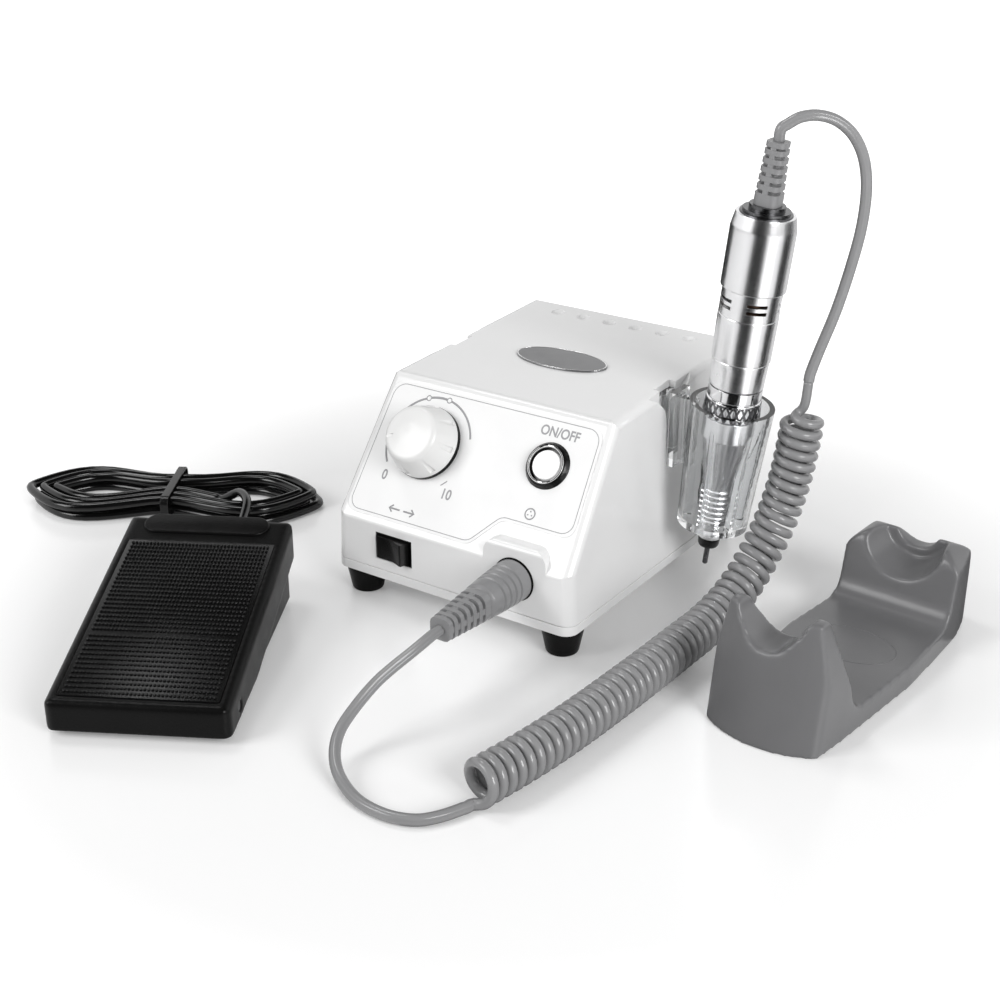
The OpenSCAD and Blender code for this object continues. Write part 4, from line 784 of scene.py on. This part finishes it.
@dataclass
class PedalCord:
    """The pedal's black cord, wound into a tied hank with its plug inside."""

    diameter: float = 4.4
    loops: int = 5
    overlap: float = 0.06
    start: float = -93.0
    half_len: Span = (58.0, 6.6)  # first loop, growth
    half_w: Span = (2.8, 6.0)
    bulge: Span = (12.0, 1.5)
    hump: Span = (1.1, 200.0)  # rise at the tie, spread
    gap: Span = (0.1, 1.0)  # under the lower and the upper layer
    per_loop: int = 64
    gland: Point = (0.0, 128.5, 8.2)
    route: Sequence[Point] = ((36, -13, 13), (42, -24, 13.4), (43, -38, 11), (43, -52, 9.2))

    @property
    def turns(self) -> float:
        """Returns how often the cord goes round."""
        return self.loops + self.overlap

    def _hank_point(self, t: float) -> Vector:
        """Returns the hank's centre line after t turns, in its local frame and millimetres."""
        half = self.turns / 2
        ring = half - abs(t - half)
        q = math.radians(self.start + 360 * t)

        def grown(span: Span) -> float:
            """Returns a measure that grows from loop to loop."""
            return span[0] + span[1] * ring

        p = grown(self.half_len) * math.cos(q)
        w = grown(self.half_w) + grown(self.bulge) * math.sin(2 * q) ** 2
        z = self.diameter / 2 + self.gap[0] + (self.diameter + self.gap[1]) * ease((t - half + 0.25) / 0.5)
        z += self.hump[0] * math.exp(-p * p / self.hump[1])
        return Vector((p, w * math.sin(q), z))

    def build(self) -> None:
        turns = self.turns
        first, last = self._hank_point(0), self._hank_point(turns)
        into = self._hank_point(0.02) - first
        into = Vector((into.x, into.y, 0)).normalized()
        out = (last - self._hank_point(turns - 0.02)).normalized()
        count = self.per_loop * self.loops
        hank = [first - self.diameter * into]
        hank += [self._hank_point(i * turns / count) for i in range(count + 1)]
        to_hank = Place.HANK.value.inverted() @ Place.PEDAL.value
        gland = Vector(self.gland)
        near = [to_hank @ (p * MM) / MM for p in (gland + Vector((0, self.diameter, 0)), gland)]
        start = [last + k * self.diameter * out for k in (0, 1, 2)]
        lead = curve_through([*start, *self.route, *near], 6)
        path = [Place.HANK.value @ (p * MM) for p in reversed(hank + lead[1:])]
        piece = Sleeve("pedal_cord", path, [self.diameter * MM] * len(path)).build()
        Finishes.MAINS.on(piece)
        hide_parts("pedal_hank", "pedal_lead")
        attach(piece, "pedal")
        log.info("pedal cord: %.2f m", length_of(path))


@dataclass
class ControlBox:
    """The white control box with its panel, knob, button, rocker, sockets and clear cup."""

    film: float = 0.4
    line_w: float = 0.32
    border: Sequence[Point] = (  # corner, radius
        (-55.2, 4.3, 5), (8.9, 4.3, 6), (20.9, 18.3, 6), (54.7, 18.3, 5), (52.7, 63.5, 6), (-52.7, 63.5, 6),
    )
    knob: Span = (-26.7, 40.0)
    dial_r: float = 21.0
    # From, to and width of each arc of the dial, in degrees and millimetres.
    arcs: Sequence[Point] = ((-126, -23.5, 0.95), (-17.5, 5.8, 1.0), (11.8, 72, 0.9), (130, 140, 0.5))
    arc_steps: int = 40
    dots: Span = (-20.5, 8.8)
    dot: Span = (1.15, 0.45)  # radius, width of line
    words: Sequence[tuple[str, float, Span]] = (
        ("0", 4.6, (-42.6, 21.8)), ("10", 4.6, (-9.0, 20.6)), ("ON/OFF", 4.4, (34.3, 58.4)),
    )
    arrows: Span = (-27.7, 8.6)
    arrow: Sequence[float] = (1.0, 4.8, 6.6, 1.6, 0.75)  # tail, barbs, tip, half height, width
    sign: Span = (33.3, 22.6)
    sign_r: Span = (2.3, 1.05)
    sign_w: float = 0.6
    ring: Sequence[float] = (7.9, 16.3, 0.6, 2.78)  # inner and outer radius, low, high
    # The dark ring round the motor socket is painted shade, for the shadow in the gap round the plug.
    shadow_ring: Sequence[float] = (8.4, 9.75, -0.85, -0.4)
    corner: float = 0.1
    button: Span = (33.7, 44.0)
    bezel_r: float = 10.2
    cap_r: float = 6.4
    badge: Span = (22.5, 10.9)
    badge_at: Point = (0.0, 49.0, 0.82)
    badge_w: float = 0.5

    def build(self) -> None:
        """Dresses the box's solids and prints its panel."""
        dress(Finishes.WHITE, 0.5, "housing", "base_tray")
        # The bit rack is black so that the bit holes read dark: painted shade in the holes.
        dress(Finishes.BLACK, 0.0, "bit_rack")
        dress(Finishes.FILM, 0.0, "panel_overlay")
        dress(Finishes.RUBBER, 0.8, "rubber_feet")
        dress(Finishes.BADGE, 0.25, "badge")
        dress(Finishes.KNOB, 0.35, "knob_cap")
        dress(Finishes.BLACK, 0.25, "rocker_body", "button_switch")
        dress(Finishes.BLACK, 0.25, "mains_inlet", "fuse_holder", "pedal_socket")
        dress(Finishes.BLACK, 0.5, "rocker_paddle")
        dress(Finishes.CHROME, 0.1, "pot_shaft", "foot_screws", "panel_nuts")
        dress(Finishes.IRON, 0.2, "pot_body")
        # The motor socket is dark so that it reads as a dark ring round the plug: painted shade in the gap.
        dress(Finishes.RUBBER, 0.2, "motor_socket")
        dress(Finishes.IRON, 0.3, "transformer_core")
        dress(Finishes.COPPER, 0.8, "transformer_winding")
        dress(Finishes.BOARD, 0.1, "control_board")
        dress(Finishes.CLEAR, 0.4, "holder_cup")
        self._knob_ring()
        self._socket_shadow_ring()
        self._button()
        self._badge_rim()
        self._print()

    def _outline(self) -> list[Span]:
        """Returns the printed border, inside the film's edge, with its step over the socket."""
        corners = self.border
        out: list[Span] = []
        for i, (x, y, r) in enumerate(corners):
            here = Vector((x, y))
            before = (Vector(corners[i - 1][:2]) - here).normalized()
            after = (Vector(corners[(i + 1) % len(corners)][:2]) - here).normalized()
            half = before.angle(after) / 2
            middle = here + (before + after).normalized() * r / math.sin(half)
            a = here + before * r / math.tan(half) - middle
            b = here + after * r / math.tan(half) - middle
            for k in range(9):
                spoke = a.lerp(b, k / 8).normalized() * r
                out.append(tuple(middle + spoke))
        return out

    def _badge_rim(self) -> None:
        """Lays the bright rim line on the blank badge."""
        rim = oval(self.badge_at, self.badge, 96, self.badge_at[2])
        line = Bench.line(rim, self.badge_w, True)
        piece = Bench.settle(line, Place.LID.value, "badge_rim", Finishes.CHROME)
        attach(piece, "console")

    def _print(self) -> None:
        """Prints the border, the dial's arc with its numbers, and plain signs by the switches."""
        z = self.film + 0.02
        pieces = [Bench.line([(x, y, z) for x, y in self._outline()], self.line_w, True)]

        def dial(angle: float) -> Point:
            """Returns a point of the dial's arc, at an angle from its top."""
            a = math.radians(90 - angle)
            return (self.knob[0] + self.dial_r * math.cos(a), self.knob[1] + self.dial_r * math.sin(a), z)

        steps = self.arc_steps
        for lo, hi, width in self.arcs:
            pieces.append(Bench.line([dial(lo + (hi - lo) * k / steps) for k in range(steps + 1)], width))
        radius, width = self.dot
        for angle in self.dots:
            pieces.append(Bench.line(oval(dial(angle), (radius, radius), 20, z), width, True))
        for text, size, centre in self.words:
            pieces.append(Bench.words(text, size, centre, z))
        u, v = self.arrows
        tail, barb, tip, half, width = self.arrow
        for side in (-1, 1):
            point, barbs = (u + side * tip, v, z), u + side * barb
            pieces.append(Bench.line([(u + side * tail, v, z), point], width))
            pieces.append(Bench.line([(barbs, v + half, z), point, (barbs, v - half, z)], width))
        u, v = self.sign
        outer, inner = self.sign_r
        pieces.append(Bench.line(oval(self.sign, (outer, outer), 28, z), self.sign_w, True))
        for k in range(3):
            a = math.radians(90 + 120 * k)
            x, y = u + inner * math.cos(a), v + inner * math.sin(a)
            pieces.append(Bench.line([(x - self.sign_w / 2, y, z), (x + self.sign_w / 2, y, z)], self.sign_w))
        piece = Bench.settle(Bench.join(pieces), Place.PANEL.value, "panel_print", Finishes.INK)
        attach(piece, "console")
        log.info("panel print")

    def _knob_ring(self) -> None:
        """Turns the knob's dark foot ring, which stands just off the panel; its matte black also stands for
        the shadow under the cap's skirt: painted shade.
        """
        inner, outer, low, high = self.ring
        c = self.corner
        ring = Bench.turned(
            [(inner, low), (outer - c, low), (outer, low + c), (outer, high), (inner, high), (inner, low)],
            Place.PANEL.value @ Matrix.Translation(metres((*self.knob, 0))), "knob_ring", Finishes.RUBBER,
        )
        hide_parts("knob_base")
        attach(ring, "speed_knob")

    def _socket_shadow_ring(self) -> None:
        """Turns the thin dark ring round the motor socket, which stands for the shadow in the gap round the
        plug: painted shade.
        """
        inner, outer, low, high = self.shadow_ring
        c = self.corner
        shadow_ring = Bench.turned(
            [(inner, low), (outer, low), (outer, high - c), (outer - c, high), (inner, high), (inner, low)],
            Place.SOCKET.value, "socket_shadow_ring", Finishes.RUBBER,
        )
        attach(shadow_ring, "console")

    def _button(self) -> None:
        """Turns the button's dark bezel, bright inner ring and lit cap."""
        r, c = self.bezel_r, self.cap_r
        place = Place.PANEL.value @ Matrix.Translation(metres((*self.button, 0)))
        bezel = Bench.turned([
            (8.0, -14.0), (8.0, 0.0), (r, 0.0), (r, 0.7), (r - 0.25, 1.0), (9.3, 2.0), (8.8, 2.5),
            (8.45, 2.6), (8.42, 2.3), (7.5, 2.3), (7.5, 0.4), (c + 0.2, 0.4), (c + 0.2, -14.0), (8.0, -14.0),
        ], place, "button_bezel_dark", Finishes.BLACK)
        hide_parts("button_bezel")
        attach(bezel, "console")
        rim = Bench.turned([
            (7.54, 2.28), (8.4, 2.28), (8.4, 2.75), (8.25, 3.05), (7.97, 3.15), (7.7, 3.05), (7.54, 2.75),
            (7.54, 2.28),
        ], place, "button_bezel_rim", Finishes.CHROME)
        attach(rim, "console")
        cap = Bench.turned([
            (0.0, 3.15), (2.0, 3.1), (4.0, 2.95), (5.3, 2.7), (5.6, 2.5), (5.75, 2.5), (5.95, 2.55),
            (c - 0.1, 2.2), (c, 1.8), (c, -6.0), (2.5, -6.0), (2.5, -11.3), (0.0, -11.3),
        ], place, "button_cap_lit", Finishes.LAMP)
        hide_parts("button_cap")
        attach(cap, "power_button")
        log.info("power button")


@dataclass
class Handpiece:
    """The steel handpiece with its ringed grip, patterned collar and slotted boot."""

    collar: Span = (11.62, 68.0)  # radius, height
    chevrons: int = 22
    bar: Point = (0.5, 0.9, 7.2)
    bar_bevel: float = 0.18
    bar_off: float = 1.75
    slant: float = 24.0

    def build(self) -> None:
        """Dresses the turned pieces and makes the collar's pattern."""
        dress(Finishes.STEEL, 0.18, "motor_case", "vent_ring", "rear_sleeve")
        dress(Finishes.STEEL, 0.18, "body_ring", "grip_sleeve", "nose_cone")
        dress(Finishes.BRIGHT, 0.15, "lock_collar")
        dress(Finishes.BLACK, 0.2, "nose_tip")
        dress(Finishes.DARK, 0.15, "rear_cap")
        dress(Finishes.PLUG, 0.25, "cord_boot")
        dress(Finishes.BRIGHT, 0.08, "spindle", "bearings")
        dress(Finishes.DARK, 0.08, "drill_bit")
        # The rotor's near-black copper is painted shade, seen through the vent slots.
        dress(Finishes.LACQUER, 0.15, "rotor")
        dress(Finishes.IRON, 0.15, "magnet_ring")
        dress(Finishes.GREY, 0.15, "brush_holder")
        dress(Finishes.PLUG, 0.3, "plug_body", "plug_relief")
        self._pattern()

    def _pattern(self) -> None:
        """Raises slanted bars in pairs round the lock collar."""
        bars = []
        for side in (-1, 1):
            bar = Bench.block(self.bar, self.bar_bevel)
            turn = Matrix.Rotation(math.radians(self.slant * side), 4, "X")
            lift = Matrix.Translation(metres((self.collar[0], side * self.bar_off, self.collar[1])))
            bar.data.transform(lift @ turn)
            bars.append(bar)
        piece = Bench.join(bars)
        count = self.chevrons
        with Bench.editing():
            bpy.ops.mesh.spin(
                steps=count, dupli=True, angle=math.tau * (count - 1) / count,
                center=(0, 0, 0), axis=(0, 0, 1),
            )
        piece = Bench.settle(piece, Place.HANDPIECE.value, "collar_pattern", Finishes.DARK)
        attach(piece, "collar")
        log.info("handpiece")


@dataclass
class Pedal:
    """The black foot pedal with its tread of pips."""

    mat_w: float = 64.0
    mat_b: float = 3.0
    mat_len: float = 101.0
    mat: Point = (0.8, 0.3, -0.3)  # thickness, bevel, height of its middle
    inset: float = 0.2
    step: Span = (1.55, 2.8)
    pip: Point = (1.15, 1.3, 1.0)
    pip_at: float = 0.25
    pip_bevel: float = 0.34
    side: float = 1.5
    bands: Sequence[tuple[float, int]] = ((2.2, 13), (40.0, 22))  # start, rows
    pad: Point = (27.7, 6.6, 1.8)  # half length, radius, height
    pad_at: Point = (-0.6, 116.2, 0.3)
    pad_bevel: float = 0.8
    spring_end: float = 1.2

    def build(self) -> None:
        """Dresses the pedal's solids and makes its tread and toe pad."""
        dress(Finishes.PEDAL, 0.6, "pedal_base")
        treadle = Bench.smooth_copy("pedal_treadle", 0.8, 8)
        Finishes.PEDAL.on(treadle)
        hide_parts("pedal_treadle")
        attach(treadle, "treadle")
        dress(Finishes.DARK, 0.3, "pedal_pin")
        dress(Finishes.GREY, 0.3, "pedal_switch")
        dress(Finishes.WHITE, 0.3, "switch_plunger")
        dress(Finishes.RUBBER, 0.4, "pedal_feet")
        dress(Finishes.RUBBER, 0.25, "pedal_gland")
        dress(Finishes.BLACK, 0.3, "cord_tie")
        dress(Finishes.BLACK, 0.2, "pedal_plug")
        self._spring()
        self._tread()
        self._toe_pad()

    def _spring(self) -> None:
        """Copies the return spring into a smooth chrome piece of its own."""
        spring = Bench.copy_of("pedal_spring", "return_spring")
        Bench.pick(spring)
        bpy.ops.object.shade_smooth()
        Finishes.CHROME.on(spring)
        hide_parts("pedal_spring")
        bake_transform(spring)

    def _tread(self) -> None:
        """Lays rows of small pips on the mat, in two bands with a plain one between."""
        thick, bevel, height = self.mat
        size = (self.mat_w - self.inset, self.mat_len - self.inset, thick)
        pieces = [Bench.block(size, bevel, (0, self.mat_b + self.mat_len / 2, height))]
        across, along = self.step
        columns = int((self.mat_w - 2 * self.side) / across)
        for first, rows in self.bands:
            pip = Bench.block((1 / MM, 1 / MM, 1 / MM), self.pip_bevel / MM)
            corner = metres((-(columns - 1) * across / 2, self.mat_b + first, self.pip_at))
            pip.data.transform(Matrix.Translation(corner) @ Matrix.Diagonal((*metres(self.pip), 1.0)))
            for count, shift in ((columns, (across, 0, 0)), (rows, (0, along, 0))):
                Bench.apply(
                    pip, "ARRAY", count=count, use_relative_offset=False, use_constant_offset=True,
                    constant_offset_displace=metres(shift),
                )
            pieces.append(pip)
        piece = Bench.settle(Bench.join(pieces), Place.TREAD.value, "tread_pips", Finishes.TREAD)
        Bench.smooth(piece)
        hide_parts("tread_mat")
        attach(piece, "treadle")
        log.info("tread")

    def _toe_pad(self) -> None:
        """Raises the smooth oval pad at the toe."""
        Bench.clear()
        length, radius, height = self.pad
        bpy.ops.mesh.primitive_cylinder_add(vertices=64, radius=radius * MM, depth=height * MM)
        pad = bpy.context.object
        for dot in pad.data.vertices:
            dot.co.x += math.copysign((length - radius) * MM, dot.co.x)
        with Bench.editing():
            bpy.ops.mesh.select_all(action="DESELECT")
            bpy.ops.mesh.select_mode(type="FACE")
        for face in pad.data.polygons:
            face.select = face.normal.z > 0.9
        bpy.ops.object.mode_set(mode="EDIT")
        bpy.ops.mesh.bevel(offset=self.pad_bevel * MM, segments=4, affect="EDGES")
        bpy.ops.object.mode_set(mode="OBJECT")
        pad.data.transform(Matrix.Translation(metres(self.pad_at)))
        pad = Bench.settle(pad, Place.TREAD.value, "toe_pad", Finishes.PEDAL)
        Bench.smooth(pad)
        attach(pad, "treadle")
        log.info("toe pad")


@dataclass
class BenchRest:
    """The grey moulded rest for the handpiece."""

    voxel: float = 0.9
    rounds: int = 10
    mark: Span = (20.0, 14.0)
    mark_at: Point = (0.0, 74.0, 10.0)
    mark_w: float = 0.7

    def build(self) -> None:
        """Makes the rounded moulding and the oval line on its floor."""
        piece = Bench.smooth_copy("handpiece_rest", self.voxel, self.rounds)
        piece.name = "rest_moulding"
        Finishes.GREY.on(piece)
        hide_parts("handpiece_rest")
        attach(piece, "rest")
        ring = oval(self.mark_at, self.mark, 72, self.mark_at[2])
        line = Bench.line(ring, self.mark_w, True)
        line = Bench.settle(line, Place.REST.value, "rest_oval", Finishes.GREY)
        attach(line, "rest")
        log.info("rest")


@dataclass
class Studio:
    """Camera, floor and soft light."""

    eye: Point = (0.3384, -0.4951, 0.3385)
    aim: Point = (-0.08012, 0.11976, 0.0)
    lens: float = 57.98
    dim: float = 0.34
    centre: Point = (0.0, 0.0, 0.05)
    lamps: Sequence[tuple[str, Point, float, float]] = (
        ("key", (-0.75, -1.1, 0.9), 0.7, 9.6),
        ("fill", (1.15, -0.45, 0.6), 0.6, 12.0),
        ("top", (-0.63, 0.09, 1.35), 0.4, 3.0),
    )
    floor_w: float = 12.0
    floor_tone: float = 0.9
    floor_rough: float = 0.22
    glow_run: Span = (0.2, 0.45)
    glow: Span = (0.52, 1.0)
    gloss_run: Span = (0.5, 0.9)
    gloss: float = 0.5
    trade: float = -0.8  # glow given up for gloss
    mat_foot: Point = (0.065, 0.086, 0.0006)
    mat_run: Span = (0.1, 6.0)
    mats: Sequence[tuple[str, float, float]] = (
        ("mat_front", -30, 16), ("mat_right", 76, 122), ("mat_left", -170, -118),
    )
    backdrop: Span = (1.9, 2.0)  # distance, half width
    ceiling: Span = (2.6, 2.2)  # half width, height
    flag_tone: float = 0.012

    @staticmethod
    def _aim(thing: Piece, spot: Point, target: Point) -> None:
        """Puts a camera or a lamp in its place and turns it to a target."""
        thing.location = spot
        thing.rotation_euler = (Vector(target) - Vector(spot)).to_track_quat("-Z", "Y").to_euler()

    def camera(self) -> None:
        """Sets the camera at the photograph's place."""
        data = bpy.data.cameras.new("camera")
        data.lens = self.lens
        data.sensor_width = 36.0
        data.clip_start, data.clip_end = 0.01, 50.0
        camera = Bench.bring("camera", data)
        self._aim(camera, self.eye, self.aim)
        bpy.context.scene.camera = camera

    def light(self) -> None:
        """Hangs the softboxes and sets a white surround."""
        scene = bpy.context.scene
        scene.view_settings.view_transform = "Standard"
        world = bpy.data.worlds.new("surround")
        scene.world = world
        world.use_nodes = True
        graph = Graph(world.node_tree)
        back = world.node_tree.nodes["Background"]
        path = graph.add("ShaderNodeLightPath").outputs
        seen = graph.calc("ADD", path["Is Camera Ray"], path["Is Glossy Ray"])
        seen = graph.calc("ADD", seen, path["Is Transmission Ray"], use_clamp=True)
        graph.fill(back, {"Color": PURE_WHITE, "Strength": graph.remap(seen, (0.0, 1.0), (self.dim, 1.0))})
        for name, spot, size, power in self.lamps:
            data = bpy.data.lights.new(name, "AREA")
            data.size = size
            data.energy = power
            self._aim(Bench.bring(name, data), spot, self.centre)

    def floor(self) -> None:
        """Lays the pale floor, whose gloss fades and whose glow grows away from the set."""
        Bench.clear()
        bpy.ops.mesh.primitive_plane_add(size=self.floor_w)
        floor = bpy.context.object
        floor.name = "floor"
        material, graph, shader = new_material("floor_white")
        where = graph.add("ShaderNodeTexCoord").outputs["Object"]
        away = graph.add("ShaderNodeVectorMath", {0: where}, operation="LENGTH").outputs["Value"]
        level = graph.remap(away, self.glow_run, self.glow)
        gloss = graph.remap(away, self.gloss_run, (self.gloss, 0.0))
        tone = (*grey(self.floor_tone), 1.0)
        graph.fill(shader, {"Base Color": tone, "Roughness": self.floor_rough, "Specular IOR Level": gloss})
        level = graph.calc("MULTIPLY_ADD", gloss, self.trade, level)
        glow = graph.calc("MULTIPLY", graph.add("ShaderNodeLightPath").outputs["Is Camera Ray"], level)
        lift = graph.add("ShaderNodeEmission", {"Color": PURE_WHITE, "Strength": glow})
        graph.close("ShaderNodeAddShader", shader.outputs[0], lift.outputs[0])
        floor.data.materials.append(material)

    def flags(self) -> None:
        """Sets up dark flags for the steel and the black pieces to reflect."""
        foot = Vector(self.mat_foot)
        facing = math.atan2(self.eye[1] - foot.y, self.eye[0] - foot.x)
        for name, start, stop in self.mats:
            ways = [facing + math.radians(angle) for angle in (stop, start)]
            spokes = [Vector((math.cos(a), math.sin(a), 0.0)) for a in ways]
            self._flag(name, [foot + reach * spoke for reach in self.mat_run for spoke in spokes])
        turn = Matrix.Rotation(math.atan2(self.eye[1], self.eye[0]), 4, "Z")
        off, half = self.backdrop
        reach, top = self.ceiling
        self._flag("backdrop", [turn @ Vector((off, y, z)) for z in (0.0, top) for y in (half, -half)])
        self._flag("ceiling", [Vector((x, y, top)) for y in (-reach, reach) for x in (reach, -reach)])

    def _flag(self, name: str, corners: Sequence[Vector]) -> None:
        """Sets up a dark studio flag that only reflections show, from its front side.

        Args:
            name: The flag's name.
            corners: Its corners, in two pairs.
        """
        Bench.clear()
        bpy.ops.mesh.primitive_plane_add(size=1.0)
        flag = bpy.context.object
        flag.name = name
        for dot, corner in zip(flag.data.vertices, corners):
            dot.co = corner
        dark, graph, shader = new_material(name)
        graph.fill(shader, {"Base Color": (*grey(self.flag_tone), 1.0), "Specular IOR Level": 0.0})
        under = graph.add("ShaderNodeNewGeometry").outputs["Backfacing"]
        through = graph.add("ShaderNodeBsdfTransparent").outputs[0]
        graph.close("ShaderNodeMixShader", under, shader.outputs[0], through)
        flag.data.materials.append(dark)
        for rays in ("camera", "diffuse", "shadow", "transmission"):
            setattr(flag, f"visible_{rays}", False)


def main() -> None:
    """Builds the set in order."""
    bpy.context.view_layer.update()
    studio = Studio()
    studio.camera()
    for item in (HandpieceCord(), PedalCord(), ControlBox(), Handpiece(), Pedal(), BenchRest()):
        item.build()
    studio.light()
    studio.floor()
    studio.flags()
    Bench.clear()


if __name__ == "__main__":
    main()
